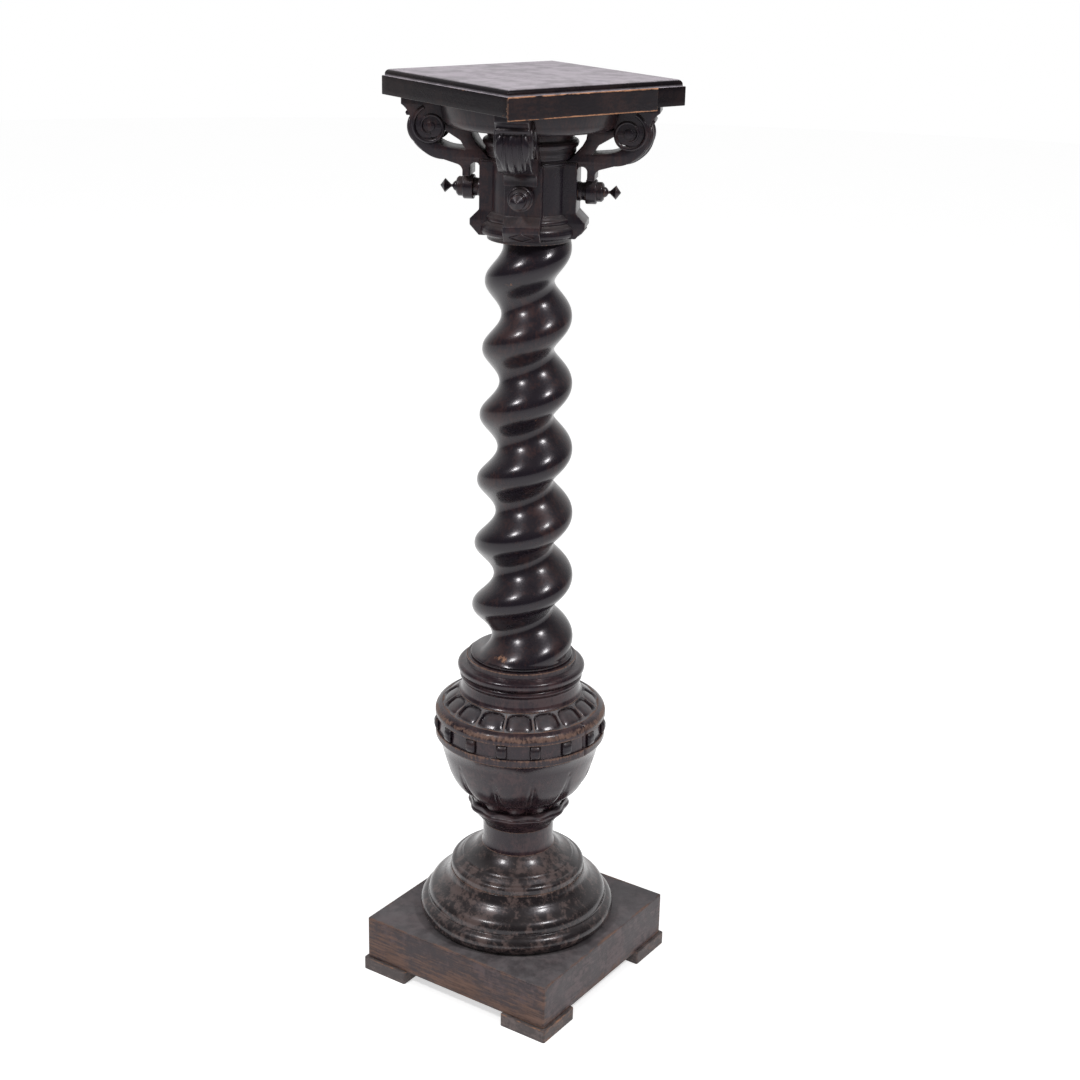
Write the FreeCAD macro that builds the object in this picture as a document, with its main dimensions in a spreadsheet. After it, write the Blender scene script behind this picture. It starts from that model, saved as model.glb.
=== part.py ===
import FreeCAD, Part
import Sketcher
import math
import os

# A turned and carved pedestal column stand, 1168 mm tall, in millimetres.
#
# +Z is up and the origin lies on the floor at the middle of the square foot. The sides of the
# foot lie along X and Y. The stand has two bodies. The lower one is a square plinth on four
# pads, a stepped round base, a short stem and a carved urn. The upper one is a barley-twist
# column with a capital of four scroll brackets and a square board. A round tenon under the
# twist stands in a socket in the urn's collar, so the upper body can turn on the lower one,
# and it stands turned by rest_turn against the foot.

UPRIGHT = FreeCAD.Vector(0, 0, 1)
QUARTERS = (45, 135, -135, -45)

# Every driving size of the stand: its name in the sheet, its value and what it measures.
DIMENSIONS = [
    ("rest_turn", 18.84, "degrees that the upper body stands turned against the foot"),
    # The square foot
    ("pad_width", 68.0, "side of a corner pad"),
    ("pad_height", 17.6, "height of a corner pad"),
    ("pad_reach", 4.0, "how far a pad stands out past the plinth"),
    ("pad_round", 2.5, "rounding of a pad's upright edges"),
    ("plinth_width", 283.0, "side of the square plinth"),
    ("plinth_height", 59.1, "height of the plinth"),
    ("plinth_round", 2.0, "rounding of the plinth's edges"),
    # The stepped round base
    ("ring_radius", 128.5, "largest radius of the base ring, on its roll"),
    ("ring_height", 66.3, "height of the base ring"),
    ("roll_height", 25.6, "height of the base ring's roll"),
    ("roll_depth", 10.0, "how far the roll swells past the member above it"),
    ("nose_height", 16.7, "height of the rounded member above the roll"),
    ("nose_depth", 9.0, "how far the rounded member draws in"),
    ("tier_radius", 88.0, "radius of the upper tier"),
    ("tier_height", 36.0, "height of the upper tier"),
    ("tier_edge_height", 5.0, "height of the tier's upright edge"),
    ("tier_edge_round", 7.0, "size of the rounding above that edge"),
    ("tier_neck_rise", 2.5, "height of the tier's flat neck at the stem"),
    ("tier_neck_reach", 8.0, "width of that neck past the stem"),
    ("stem_radius", 47.0, "radius of the short stem"),
    ("stem_height", 34.0, "height of the short stem between tier and urn"),
    # The urn
    ("calyx_height", 34.0, "height of the ring under the bowl"),
    ("calyx_radius", 63.5, "largest radius of that ring"),
    ("bowl_height", 125.0, "height of the bowl with its ring"),
    ("bowl_low_rise", 33.0, "height of the bowl's steep lower part"),
    ("bowl_low_radius", 87.4, "radius where the lower part ends"),
    ("bowl_high_rise", 19.0, "height of the flare under the band"),
    ("bowl_high_radius", 100.0, "radius where the flare starts"),
    ("band_radius", 109.4, "radius of the two fillets of the band"),
    ("band_height", 43.0, "height of the band"),
    ("band_low_height", 9.5, "height of the band's lower fillet"),
    ("band_rim_height", 5.0, "height of the upright rim"),
    ("band_rim_fall", 9.0, "height of the rounding above the rim"),
    ("band_recess", 2.9, "depth of the flat between the fillets"),
    ("stud_width", 13.5, "width of a square stud on the band"),
    ("stud_play", 0.25, "room above and below a stud"),
    ("stud_reach", 5.3, "how far a stud stands out of the recess"),
    ("stud_bevel", 1.6, "bevel of a stud's front edges"),
    ("shoulder_radius", 101.0, "radius of the shoulder where it meets the band"),
    ("shoulder_height", 16.4, "height of the sloping shoulder"),
    ("scoop_width", 28.0, "width of one hollow in the shoulder"),
    ("scoop_depth", 6.0, "depth of one hollow in the shoulder"),
    ("dart_depth", 6.5, "depth of a carved vein at the foot of the bowl"),
    ("collar_radius", 79.0, "radius of the collar where it meets the shoulder"),
    ("collar_height", 49.6, "height of the collar"),
    ("collar_waist_radius", 76.0, "radius at the collar's waist"),
    ("collar_waist_height", 25.2, "height of the collar's waist"),
    ("collar_roll_height", 18.2, "height of the collar's roll"),
    ("collar_roll_reach", 4.8, "how far the roll swells past the waist"),
    ("collar_lip_radius", 69.8, "radius of the collar's upper lip"),
    # The barley-twist column
    ("column_height", 531.7, "height of the twist between collar and capital"),
    ("twist_low_radius", 52.0, "radius of the twist's round section at the bottom"),
    ("twist_high_radius", 40.5, "radius of that section at the top"),
    ("twist_low_throw", 13.5, "distance of the section from the column's axis at the bottom"),
    ("twist_high_throw", 10.0, "that distance at the top"),
    ("twist_pitch", 82.83, "height of one whole turn"),
    ("twist_phase", -58.4, "degrees from the board's side at which the bulge starts"),
    ("twist_foot_radius", 64.5, "radius of the round foot of the twist"),
    ("twist_foot_height", 5.7, "height of that foot"),
    # The capital
    ("drum_height", 131.0, "height of the capital's drum"),
    ("drum_radius", 46.5, "radius of the drum's plain shaft"),
    ("drum_base_radius", 58.0, "largest radius of the drum's foot"),
    ("drum_base_height", 32.0, "height of the drum's moulded foot"),
    ("drum_cap_radius", 53.0, "radius of the fillets under the drum's bead"),
    ("drum_cap_height", 38.5, "height of the drum's moulded head, above the pilasters"),
    ("drum_bead_radius", 56.0, "largest radius of the bead"),
    ("drum_cove_radius", 50.0, "radius of the hollow above the bead"),
    ("disc_radius", 106.5, "radius of the capital's round disc under the board"),
    ("disc_height", 29.0, "height of the disc"),
    ("disc_foot_radius", 93.0, "radius of the disc's lower face"),
    ("pilaster_width", 43.0, "width of a pilaster"),
    ("pilaster_face", 57.0, "distance of a pilaster's face from the axis"),
    ("pilaster_back", 40.0, "distance of a pilaster's back from the axis"),
    ("pilaster_lift", 5.0, "height of a pilaster's foot above the drum's foot"),
    ("nose_reach", 11.0, "how far a pilaster's foot block stands out"),
    ("nose_rise", 12.0, "height of the slope under that block"),
    ("nose_face", 7.0, "height of that block's face"),
    # The scroll brackets
    ("bracket_width", 38.0, "thickness of a bracket"),
    ("bracket_reach", 150.0, "distance of a bracket's cornice from the axis"),
    ("cornice_height", 8.0, "height of the cornice"),
    ("scroll_radius", 25.5, "radius of the scroll about its eye"),
    ("scroll_eye_reach", 115.0, "distance of the scroll's eye from the axis"),
    ("scroll_eye_drop", 32.0, "depth of the scroll's eye below the board"),
    ("scroll_eye_radius", 8.0, "radius of the raised eye"),
    ("scroll_eye_lift", 1.2, "how far the eye stands out of the bracket's side"),
    ("hanger_front", 77.5, "distance of the hanger's front from the axis"),
    ("hanger_back", 68.5, "distance of the hanger's back from the axis"),
    ("strut_seat", 98.0, "distance of the bracket's inner end from the axis"),
    ("strut_rise", 38.5, "rise of the strut to the disc"),
    # The turned bosses and finials below the brackets
    ("boss_drop", 34.5, "depth of the bosses' axis below the pilasters' top"),
    ("spacer_radius", 11.0, "radius of the spacer ring"),
    ("spacer_length", 9.0, "length of the spacer ring"),
    ("boss_radius", 14.5, "radius of the boss"),
    ("boss_length", 13.0, "length of the boss"),
    ("button_radius", 11.5, "radius of the button in front of the boss"),
    ("button_length", 8.0, "length of the button"),
    ("finial_radius", 8.3, "largest radius of the finial"),
    ("finial_length", 20.0, "length of the finial in front of the button"),
    ("finial_neck", 1.7, "radius of the finial's neck"),
    ("shank_radius", 4.0, "radius of the finial's shank"),
    # The board
    ("board_width", 250.0, "side of the square board"),
    ("board_height", 29.0, "height of the board"),
    ("board_edge_height", 21.5, "height of the board's upright edge"),
    ("board_step", 2.5, "width of the step above that edge"),
    ("board_round", 5.3, "radius of the rounding above the step"),
    ("strip_length", 208.0, "length of the strip let into one edge"),
    ("strip_height", 25.5, "height of the strip"),
    ("strip_hang", 3.75, "how far the strip hangs below the board"),
    ("strip_thickness", 2.0, "thickness of the strip"),
    ("strip_inset", 1.0, "depth that the strip is let into the board"),
    # The joints between the pieces
    ("dowel_radius", 20.0, "radius of the glued tenons"),
    ("spigot_radius", 30.0, "radius of the spigot under the collar"),
    ("spigot_length", 77.4, "length of that spigot"),
    ("pivot_radius", 24.0, "radius of the tenon that the column turns on"),
    ("pivot_length", 95.0, "length of that tenon"),
    ("foot_dowel_length", 50.0, "depth of the stem's tenon in the plinth"),
    ("urn_dowel_length", 72.0, "height of the stem's tenon in the bowl"),
    ("head_dowel_length", 20.0, "height of the twist's tenon in the disc"),
    ("glue_gap", 0.1, "clearance round a glued tenon"),
    ("turning_gap", 0.05, "clearance round the tenon that turns"),
    ("standing_gap", 0.3, "clearance between the column and the collar"),
    ("end_gap", 1.0, "clearance past the end of a tenon or screw"),
    # The wood screws
    ("screw_radius", 2.4, "radius of a screw's shank"),
    ("screw_head", 4.8, "radius of a screw's head"),
    ("screw_sink", 1.0, "how deep a screw's head lies below the wood"),
    ("pad_screw_length", 40.0, "length of the screws in the pads"),
    ("top_screw_length", 40.0, "length of the screws that hold the board"),
    ("top_screw_place", 75.0, "distance of those screws from the axis"),
]

STUD_COUNT = 16
DART_COUNT = 12
SCREW_COUNT = 4


class Size:
    """A length with its number and the sheet expression that works it out."""

    def __init__(self, number, text):
        self.number = number
        self.text = text

    def __add__(self, other):
        other = as_size(other)
        return Size(self.number + other.number, "(%s + %s)" % (self.text, other.text))

    def __sub__(self, other):
        other = as_size(other)
        return Size(self.number - other.number, "(%s - %s)" % (self.text, other.text))

    def __mul__(self, factor):
        factor = as_size(factor)
        return Size(self.number * factor.number, "(%s * %s)" % (self.text, factor.text))

    def __truediv__(self, divisor):
        divisor = as_size(divisor)
        return Size(self.number / divisor.number, "(%s / %s)" % (self.text, divisor.text))

    def __neg__(self):
        return Size(-self.number, "(0 - %s)" % self.text)

    def root(self):
        """The square root of this value."""
        return Size(math.sqrt(self.number), "sqrt(%s)" % self.text)


def as_size(value):
    """A plain number as a Size, and a Size as it is."""
    if isinstance(value, Size):
        return value
    return Size(float(value), "%.9g" % value)


class Sheet:
    """The sheet's sizes, each one an attribute of this object by its name."""


def read_sizes(document):
    """Fill the document's sheet with the driving sizes and return them by name."""
    sheet = document.addObject("Spreadsheet::Sheet", "Sizes")
    sizes = Sheet()
    for row, (name, value, meaning) in enumerate(DIMENSIONS, start=1):
        sheet.set("A%d" % row, name)
        sheet.set("B%d" % row, str(value))
        sheet.set("C%d" % row, meaning)
        sheet.setAlias("B%d" % row, name)
        setattr(sizes, name, Size(value, "Sizes.%s" % name))
    document.recompute()
    return sizes


class Outline:
    """A closed outline of straight lines and round arcs, drawn corner by corner."""

    def __init__(self, x, y):
        self.corners = [(as_size(x), as_size(y))]
        self.bulges = []

    def line(self, x, y):
        """Go straight to a corner."""
        return self.arc(x, y, 0.0)

    def arc(self, x, y, bulge):
        """Go to a corner on an arc that swells to the right by bulge times its chord."""
        self.corners.append((as_size(x), as_size(y)))
        self.bulges.append(bulge)
        return self

    def crown(self, start, end, bulge):
        """The middle point of the arc between two corners."""
        middle_x = (start[0] + end[0]) / 2
        middle_y = (start[1] + end[1]) / 2
        swell = as_size(bulge)
        return (middle_x + (end[1] - start[1]) * swell, middle_y - (end[0] - start[0]) * swell)


def vector(point):
    """The plain point of a pair of sizes."""
    return FreeCAD.Vector(point[0].number, point[1].number, 0)


def hold(sketch, geometry, end, point):
    """Bind one end of a line or arc to the sizes that place it."""
    for kind, axis, value in (("DistanceX", -2, point[0]), ("DistanceY", -1, point[1])):
        if abs(value.number) < 1e-9:
            sketch.addConstraint(Sketcher.Constraint("PointOnObject", geometry, end, axis))
        else:
            constraint = Sketcher.Constraint(kind, geometry, end, value.number)
            index = sketch.addConstraint(constraint)
            sketch.setExpression("Constraints[%d]" % index, value.text)


def draw(sketch, outline):
    """Draw a closed outline in a sketch, with every corner bound to its sizes."""
    corners = outline.corners
    bulges = outline.bulges + [0.0]
    edges = []
    for index, start in enumerate(corners):
        end = corners[(index + 1) % len(corners)]
        crown = outline.crown(start, end, bulges[index])
        if bulges[index]:
            first = 1 if bulges[index] > 0 else 2
            tips = (start, end) if first == 1 else (end, start)
            arc = Part.Arc(vector(tips[0]), vector(crown), vector(tips[1]))
            edge = sketch.addGeometry(arc, False)
            mark = sketch.addGeometry(Part.Point(vector(crown)), True)
            sketch.addConstraint(Sketcher.Constraint("PointOnObject", mark, 1, edge))
            hold(sketch, mark, 1, crown)
        else:
            first = 1
            edge = sketch.addGeometry(Part.LineSegment(vector(start), vector(end)), False)
        edges.append((edge, first, 3 - first))
    for index, (edge, first, last) in enumerate(edges):
        following, following_first, unused = edges[(index + 1) % len(edges)]
        join = Sketcher.Constraint("Coincident", edge, last, following, following_first)
        sketch.addConstraint(join)
        hold(sketch, edge, first, corners[index])


def circle(sketch, x, y, radius):
    """Draw a circle in a sketch, bound to its centre and radius."""
    centre = (as_size(x), as_size(y))
    edge = sketch.addGeometry(Part.Circle(vector(centre), UPRIGHT, radius.number), False)
    hold(sketch, edge, 3, centre)
    index = sketch.addConstraint(Sketcher.Constraint("Radius", edge, radius.number))
    sketch.setExpression("Constraints[%d]" % index, radius.text)


def place(item, turn=None, **places):
    """Place an object of the document, each coordinate and the turn bound to sizes."""
    if turn is not None:
        item.Placement = FreeCAD.Placement(FreeCAD.Vector(), FreeCAD.Rotation(UPRIGHT, turn.number))
        item.setExpression("Placement.Rotation.Angle", "%s * 1deg" % turn.text)
    for direction, value in places.items():
        item.setExpression("Placement.Base.%s" % direction, as_size(value).text)


class Piece:
    """One piece of wood or metal: a body built up from sketches."""

    def __init__(self, document, label):
        self.document = document
        self.body = document.addObject("PartDesign::Body", label)
        self.body.Label = label
        self.body.AllowCompound = False
        self.count = 0

    def origin(self, role):
        """A plane or axis of the body's own origin."""
        for feature in self.body.Origin.OriginFeatures:
            if feature.Role == role:
                return feature
        raise ValueError(role)

    def name(self, word):
        """A fresh name for a feature of this piece."""
        self.count += 1
        return "%s_%s_%d" % (self.body.Label, word, self.count)

    def sketch(self, role, outline=None):
        """A sketch on one of the body's planes, with an outline in it."""
        sketch = self.body.newObject("Sketcher::SketchObject", self.name("outline"))
        sketch.AttachmentSupport = [(self.origin(role), "")]
        sketch.MapMode = "FlatFace"
        if outline is not None:
            draw(sketch, outline)
        return sketch

    def shift(self, sketch, **places):
        """Move a sketch off its plane, each direction bound to a size."""
        for direction, value in places.items():
            sketch.setExpression("AttachmentOffset.Base.%s" % direction, as_size(value).text)

    def feature(self, kind, sketch):
        """Add a feature made from a sketch."""
        feature = self.body.newObject("PartDesign::" + kind, self.name(kind.lower()))
        feature.Profile = sketch
        self.body.Tip = feature
        return feature

    def turn(self, outline, kind="Revolution", role="XZ_Plane", axis="V_Axis", sketch=None):
        """Turn an outline once round: a Revolution adds wood and a Groove takes it off."""
        if sketch is None:
            sketch = self.sketch(role, outline)
        feature = self.feature(kind, sketch)
        feature.ReferenceAxis = (sketch, [axis])
        feature.Angle = 360
        return feature

    def pad(self, sketch, length, symmetric=False):
        """Raise a sketch to a length, or to half of it on both sides."""
        feature = self.feature("Pad", sketch)
        if symmetric:
            feature.SideType = "Symmetric"
        feature.Length = length.number
        feature.setExpression("Length", length.text)
        return feature

    def pocket(self, sketch, length, upward=True):
        """Cut a sketch to a depth, upward or downward from its plane."""
        feature = self.feature("Pocket", sketch)
        feature.Reversed = upward
        feature.Length = length.number
        feature.setExpression("Length", length.text)
        return feature

    def repeat(self, features, count):
        """Repeat features evenly round the upright axis."""
        pattern = self.body.newObject("PartDesign::PolarPattern", self.name("ring"))
        pattern.Originals = features
        pattern.Axis = (self.origin("Z_Axis"), [""])
        pattern.Angle = 360
        pattern.Occurrences = count
        self.body.Tip = pattern
        return pattern

    def soften(self, kind, radius, choose):
        """Round or bevel the edges that choose picks."""
        self.document.recompute()
        base = self.body.Tip
        edges = base.Shape.Edges
        names = ["Edge%d" % (number + 1) for number, edge in enumerate(edges) if choose(edge)]
        feature = self.body.newObject("PartDesign::" + kind, self.name(kind.lower()))
        feature.Base = (base, names)
        drive = "Radius" if kind == "Fillet" else "Size"
        setattr(feature, drive, radius.number)
        feature.setExpression(drive, radius.text)
        self.body.Tip = feature
        return feature

    def place(self, **places):
        """Place the piece, each coordinate and the turn bound to sizes."""
        place(self.body, **places)


def is_upright(edge):
    """Whether a straight edge runs along Z."""
    box = edge.BoundBox
    return box.ZLength > 1 and box.XLength + box.YLength < 1e-6


def is_level(height):
    """A test for edges that lie flat at a height."""
    def test(edge):
        box = edge.BoundBox
        return box.ZLength < 1e-6 and abs(box.ZMin - height) < 1e-6
    return test


def square(width):
    """A square about the origin."""
    half = width / 2
    return Outline(-half, -half).line(half, -half).line(half, half).line(-half, half)


def strip_of(inner, outer, width):
    """A rectangle along X from inner to outer, of a width about the axis."""
    half = width / 2
    return Outline(inner, -half).line(outer, -half).line(outer, half).line(inner, half)


def shaft(radius, low, high):
    """Half the outline of a plain round shaft."""
    return Outline(0, low).line(radius, low).line(radius, high).line(0, high)


class Levels:
    """The heights of the stand's layers, each one resting on the one below."""

    def __init__(self, d):
        self.plinth = d.pad_height
        self.ring = self.plinth + d.plinth_height
        self.tier = self.ring + d.ring_height
        self.stem = self.tier + d.tier_height
        self.bowl = self.stem + d.stem_height
        self.band = self.bowl + d.bowl_height
        self.shoulder = self.band + d.band_height
        self.collar = self.shoulder + d.shoulder_height
        self.twist = self.collar + d.collar_height + d.standing_gap
        self.drum = self.twist + d.column_height
        self.disc = self.drum + d.drum_height
        self.board = self.disc + d.disc_height
        self.pilaster_top = self.disc - d.drum_cap_height
        self.boss = self.pilaster_top - d.boss_drop


def screw_outline(d, length):
    """Half of a countersunk wood screw that points up, its head's face at zero."""
    point = d.screw_radius * 2
    outline = Outline(0, 0).line(d.screw_head, 0).line(d.screw_radius, d.screw_head - d.screw_radius)
    outline.line(d.screw_radius, length - point)
    return outline.line(0, length)


def screw_hole_outline(d, depth):
    """Half of the countersunk hole that such a screw passes through, from the wood's face."""
    head = d.screw_head + d.glue_gap
    shank = d.screw_radius + d.glue_gap
    outline = Outline(0, 0).line(head, 0).line(head, d.screw_sink)
    outline.line(shank, d.screw_sink + head - shank)
    return outline.line(shank, depth).line(0, depth)


def make_foot_pads(document, d):
    """The four square pads under the plinth's corners."""
    reach = (d.plinth_width - d.pad_width) / 2 + d.pad_reach
    for number, (side_x, side_y) in enumerate(((1, -1), (1, 1), (-1, 1), (-1, -1)), start=1):
        pad = Piece(document, "foot_pad_%d" % number)
        pad.pad(pad.sketch("XY_Plane", square(d.pad_width)), d.pad_height)
        pad.soften("Fillet", d.pad_round, is_upright)
        pad.turn(screw_hole_outline(d, d.pad_height + d.end_gap), kind="Groove")
        pad.place(x=reach * side_x, y=reach * side_y)


def make_pad_screws(document, d):
    """The four screws that hold the pads, driven up from below."""
    reach = (d.plinth_width - d.pad_width) / 2 + d.pad_reach
    screws = Piece(document, "pad_screws")
    screws.body.AllowCompound = True
    sketch = screws.sketch("XZ_Plane", screw_outline(d, d.pad_screw_length))
    screws.shift(sketch, x=reach, z=reach)
    screw = screws.turn(None, sketch=sketch)
    screws.repeat([screw], SCREW_COUNT)
    screws.place(z=d.screw_sink)


def make_plinth(document, d, level):
    """The square plinth with the socket for the stem's tenon."""
    reach = (d.plinth_width - d.pad_width) / 2 + d.pad_reach
    plinth = Piece(document, "plinth")
    plinth.pad(plinth.sketch("XY_Plane", square(d.plinth_width)), d.plinth_height)
    plinth.soften("Fillet", d.plinth_round, lambda edge: True)
    low = d.plinth_height - d.foot_dowel_length - d.end_gap
    plinth.turn(shaft(d.dowel_radius + d.glue_gap, low, d.plinth_height + d.end_gap), kind="Groove")
    sketch = plinth.sketch("XY_Plane")
    circle(sketch, reach, -reach, d.screw_radius + d.glue_gap)
    depth = d.pad_screw_length + d.screw_sink - d.pad_height + d.end_gap
    hole = plinth.pocket(sketch, depth)
    plinth.repeat([hole], SCREW_COUNT)
    plinth.place(z=level.plinth)


def make_base_ring(document, d, level):
    """The wide base ring: a roll, a rounded nose and a hollow, turned round a bore."""
    ring = Piece(document, "base_ring")
    bore = d.dowel_radius + d.glue_gap
    body_radius = d.ring_radius - d.roll_depth
    nose_top = d.roll_height + d.nose_height
    outline = Outline(bore, 0).line(body_radius, 0)
    outline.arc(body_radius, d.roll_height, d.roll_depth.number / d.roll_height.number)
    outline.arc(body_radius - d.nose_depth, nose_top, 0.15)
    outline.arc(d.tier_radius + 0.5, d.ring_height, -0.10)
    ring.turn(outline.line(bore, d.ring_height))
    ring.place(z=level.ring)


def make_base_tier(document, d, level):
    """The upper tier: a rounded edge and a cone up to the stem."""
    tier = Piece(document, "base_tier")
    bore = d.dowel_radius + d.glue_gap
    edge_top = d.tier_edge_height + d.tier_edge_round
    outline = Outline(bore, 0).line(d.tier_radius, 0).line(d.tier_radius, d.tier_edge_height)
    outline.arc(d.tier_radius - d.tier_edge_round, edge_top, 0.20)
    outline.line(d.stem_radius + d.tier_neck_reach, d.tier_height - d.tier_neck_rise)
    outline.line(d.stem_radius, d.tier_height)
    tier.turn(outline.line(bore, d.tier_height))
    tier.place(z=level.stem - d.tier_height)


def make_stem(document, d, level):
    """The short stem, with a long tenon down to the plinth and one up into the bowl."""
    stem = Piece(document, "pedestal_stem")
    low = -(d.tier_height + d.ring_height + d.foot_dowel_length)
    outline = Outline(0, low).line(d.dowel_radius, low).line(d.dowel_radius, 0)
    outline.line(d.stem_radius, 0).line(d.stem_radius, d.stem_height)
    outline.line(d.dowel_radius, d.stem_height)
    high = d.stem_height + d.urn_dowel_length
    stem.turn(outline.line(d.dowel_radius, high).line(0, high))
    stem.place(z=level.stem)


def make_urn_bowl(document, d, level):
    """The urn's bowl: a flared ring, a swelling bowl with carved veins and a flare."""
    bowl = Piece(document, "urn_bowl")
    bore = d.dowel_radius + d.glue_gap
    wide_bore = d.spigot_radius + d.glue_gap
    web_low = d.urn_dowel_length + d.end_gap
    spigot_depth = d.spigot_length - d.shoulder_height - d.band_height
    web_high = d.bowl_height - spigot_depth - d.end_gap
    nose = d.calyx_height * 0.56
    low_top = d.calyx_height + d.bowl_low_rise
    flare = d.bowl_height - d.bowl_high_rise
    outline = Outline(bore, 0).line(d.stem_radius + 1, 0)
    outline.arc(d.calyx_radius - 1, nose, -0.05)
    outline.arc(d.calyx_radius - 1, d.calyx_height, 0.10)
    outline.arc(d.bowl_low_radius, low_top, 0.03)
    outline.arc(d.bowl_high_radius, flare, 0.05)
    outline.arc(d.band_radius - 1, d.bowl_height, -0.03)
    outline.line(wide_bore, d.bowl_height).line(wide_bore, web_high).line(0, web_high)
    outline.line(0, web_low)
    bowl.turn(outline.line(bore, web_low))
    dart = carve_dart(bowl, d)
    bowl.repeat([dart], DART_COUNT)
    bowl.place(z=level.bowl)


def carve_dart(bowl, d):
    """One vein of the bowl: a V swept on an arc that leaves the wood at its upper tip.

    The arc runs through the bowl's skin at the tip and dart_depth below the skin at the
    foot, so the vein is wide at the foot and runs out to nothing at the tip.
    """
    tip = FreeCAD.Vector(d.bowl_high_radius.number, d.bowl_height.number - d.bowl_high_rise.number)
    foot = FreeCAD.Vector(d.calyx_radius.number - d.dart_depth.number, d.calyx_height.number)
    chord = tip - foot
    sagitta = chord.Length * 0.05
    swing = chord.Length / (8 * 0.05) + sagitta / 2
    outward = FreeCAD.Vector(chord.y, -chord.x).normalize()
    centre = (tip + foot) / 2 - outward * (swing - sagitta)
    middle = math.degrees(math.atan2(outward.y, outward.x))
    sweep = 2 * math.degrees(math.asin(chord.Length / 2 / swing))
    width = d.dart_depth * 1.2
    opening = Outline(swing, 0).line(swing + 2 * d.dart_depth.number, -width)
    opening.line(swing + 2 * d.dart_depth.number, width)
    sketch = bowl.sketch("XY_Plane", opening)
    tilt = FreeCAD.Rotation(FreeCAD.Vector(0, 1, 0), -middle)
    bearing = FreeCAD.Rotation(UPRIGHT, 15)
    place = FreeCAD.Placement(FreeCAD.Vector(centre.x, 0, centre.y), tilt)
    sketch.AttachmentOffset = FreeCAD.Placement(FreeCAD.Vector(), bearing) * place
    dart = bowl.feature("Groove", sketch)
    dart.ReferenceAxis = (sketch, ["V_Axis"])
    dart.Midplane = True
    dart.Angle = sweep
    return dart


def make_urn_band(document, d, level):
    """The band round the urn: two fillets with a flat recess for the studs between them."""
    band = Piece(document, "urn_band")
    bore = d.spigot_radius + d.glue_gap
    recess = d.band_radius - d.band_recess
    rim_top = d.band_height - d.band_rim_fall
    recess_top = rim_top - d.band_rim_height
    outline = Outline(bore, 0).line(d.band_radius - 1, 0).line(d.band_radius, 1)
    outline.line(d.band_radius, d.band_low_height).line(recess, d.band_low_height)
    outline.line(recess, recess_top).line(d.band_radius, recess_top)
    outline.line(d.band_radius, rim_top).arc(d.shoulder_radius, d.band_height, 0.12)
    band.turn(outline.line(bore, d.band_height))
    band.place(z=level.band)


def make_band_studs(document, d, level):
    """The sixteen square studs that stand in the band's recess."""
    studs = Piece(document, "band_studs")
    studs.body.AllowCompound = True
    recess = d.band_radius - d.band_recess + d.glue_gap
    face = recess + d.stud_reach
    half = d.stud_width / 2
    back = (recess * recess - half * half).root()
    height = d.band_height - d.band_rim_fall - d.band_rim_height - d.band_low_height
    outline = Outline(back, -half).line(face - d.stud_bevel, -half)
    outline.line(face, d.stud_bevel - half).line(face, half - d.stud_bevel)
    outline.line(face - d.stud_bevel, half).line(back, half)
    outline.bulges.append(-(recess.number - back.number) / d.stud_width.number)
    stud = studs.pad(studs.sketch("XY_Plane", outline), height - d.stud_play * 2)
    studs.repeat([stud], STUD_COUNT)
    studs.place(z=level.band + d.band_low_height + d.stud_play)


def make_urn_shoulder(document, d, level):
    """The sloping shoulder: a low cone with sixteen round hollows between its ribs."""
    shoulder = Piece(document, "urn_shoulder")
    bore = d.spigot_radius + d.glue_gap
    outline = Outline(bore, 0).line(d.shoulder_radius, 0)
    outline.line(d.collar_radius, d.shoulder_height)
    shoulder.turn(outline.line(bore, d.shoulder_height))
    radius = (d.scoop_width * d.scoop_width / 4 / d.scoop_depth + d.scoop_depth) / 2
    slope_x = d.shoulder_radius - d.collar_radius
    slant = (slope_x * slope_x + d.shoulder_height * d.shoulder_height).root()
    lift = radius - d.scoop_depth
    middle = (d.shoulder_radius + d.collar_radius) / 2
    scoop = shoulder.sketch("XZ_Plane", Outline(0, -radius).arc(0, radius, 0.5))
    reach = middle + lift * d.shoulder_height / slant
    shoulder.shift(scoop, x=reach, y=d.shoulder_height / 2 + lift * slope_x / slant)
    cut = shoulder.turn(None, kind="Groove", sketch=scoop)
    shoulder.repeat([cut], STUD_COUNT)
    shoulder.place(z=level.shoulder, turn=as_size(180.0 / STUD_COUNT))


def make_urn_collar(document, d, level):
    """The collar: a waist, a roll and a lip, with its spigot and the column's socket."""
    collar = Piece(document, "urn_collar")
    socket = d.pivot_radius + d.turning_gap
    socket_floor = d.collar_height + d.standing_gap - d.pivot_length - d.end_gap
    roll_top = d.collar_waist_height + d.collar_roll_height
    outline = Outline(0, -d.spigot_length).line(d.spigot_radius, -d.spigot_length)
    outline.line(d.spigot_radius, 0).line(d.collar_radius, 0)
    outline.arc(d.collar_waist_radius, d.collar_waist_height, -0.06)
    outline.arc(d.collar_lip_radius + 1.4, roll_top, 0.40)
    outline.line(d.collar_lip_radius, roll_top).line(d.collar_lip_radius, d.collar_height)
    outline.line(socket, d.collar_height).line(socket, socket_floor)
    collar.turn(outline.line(0, socket_floor))
    collar.place(z=level.collar)


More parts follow.
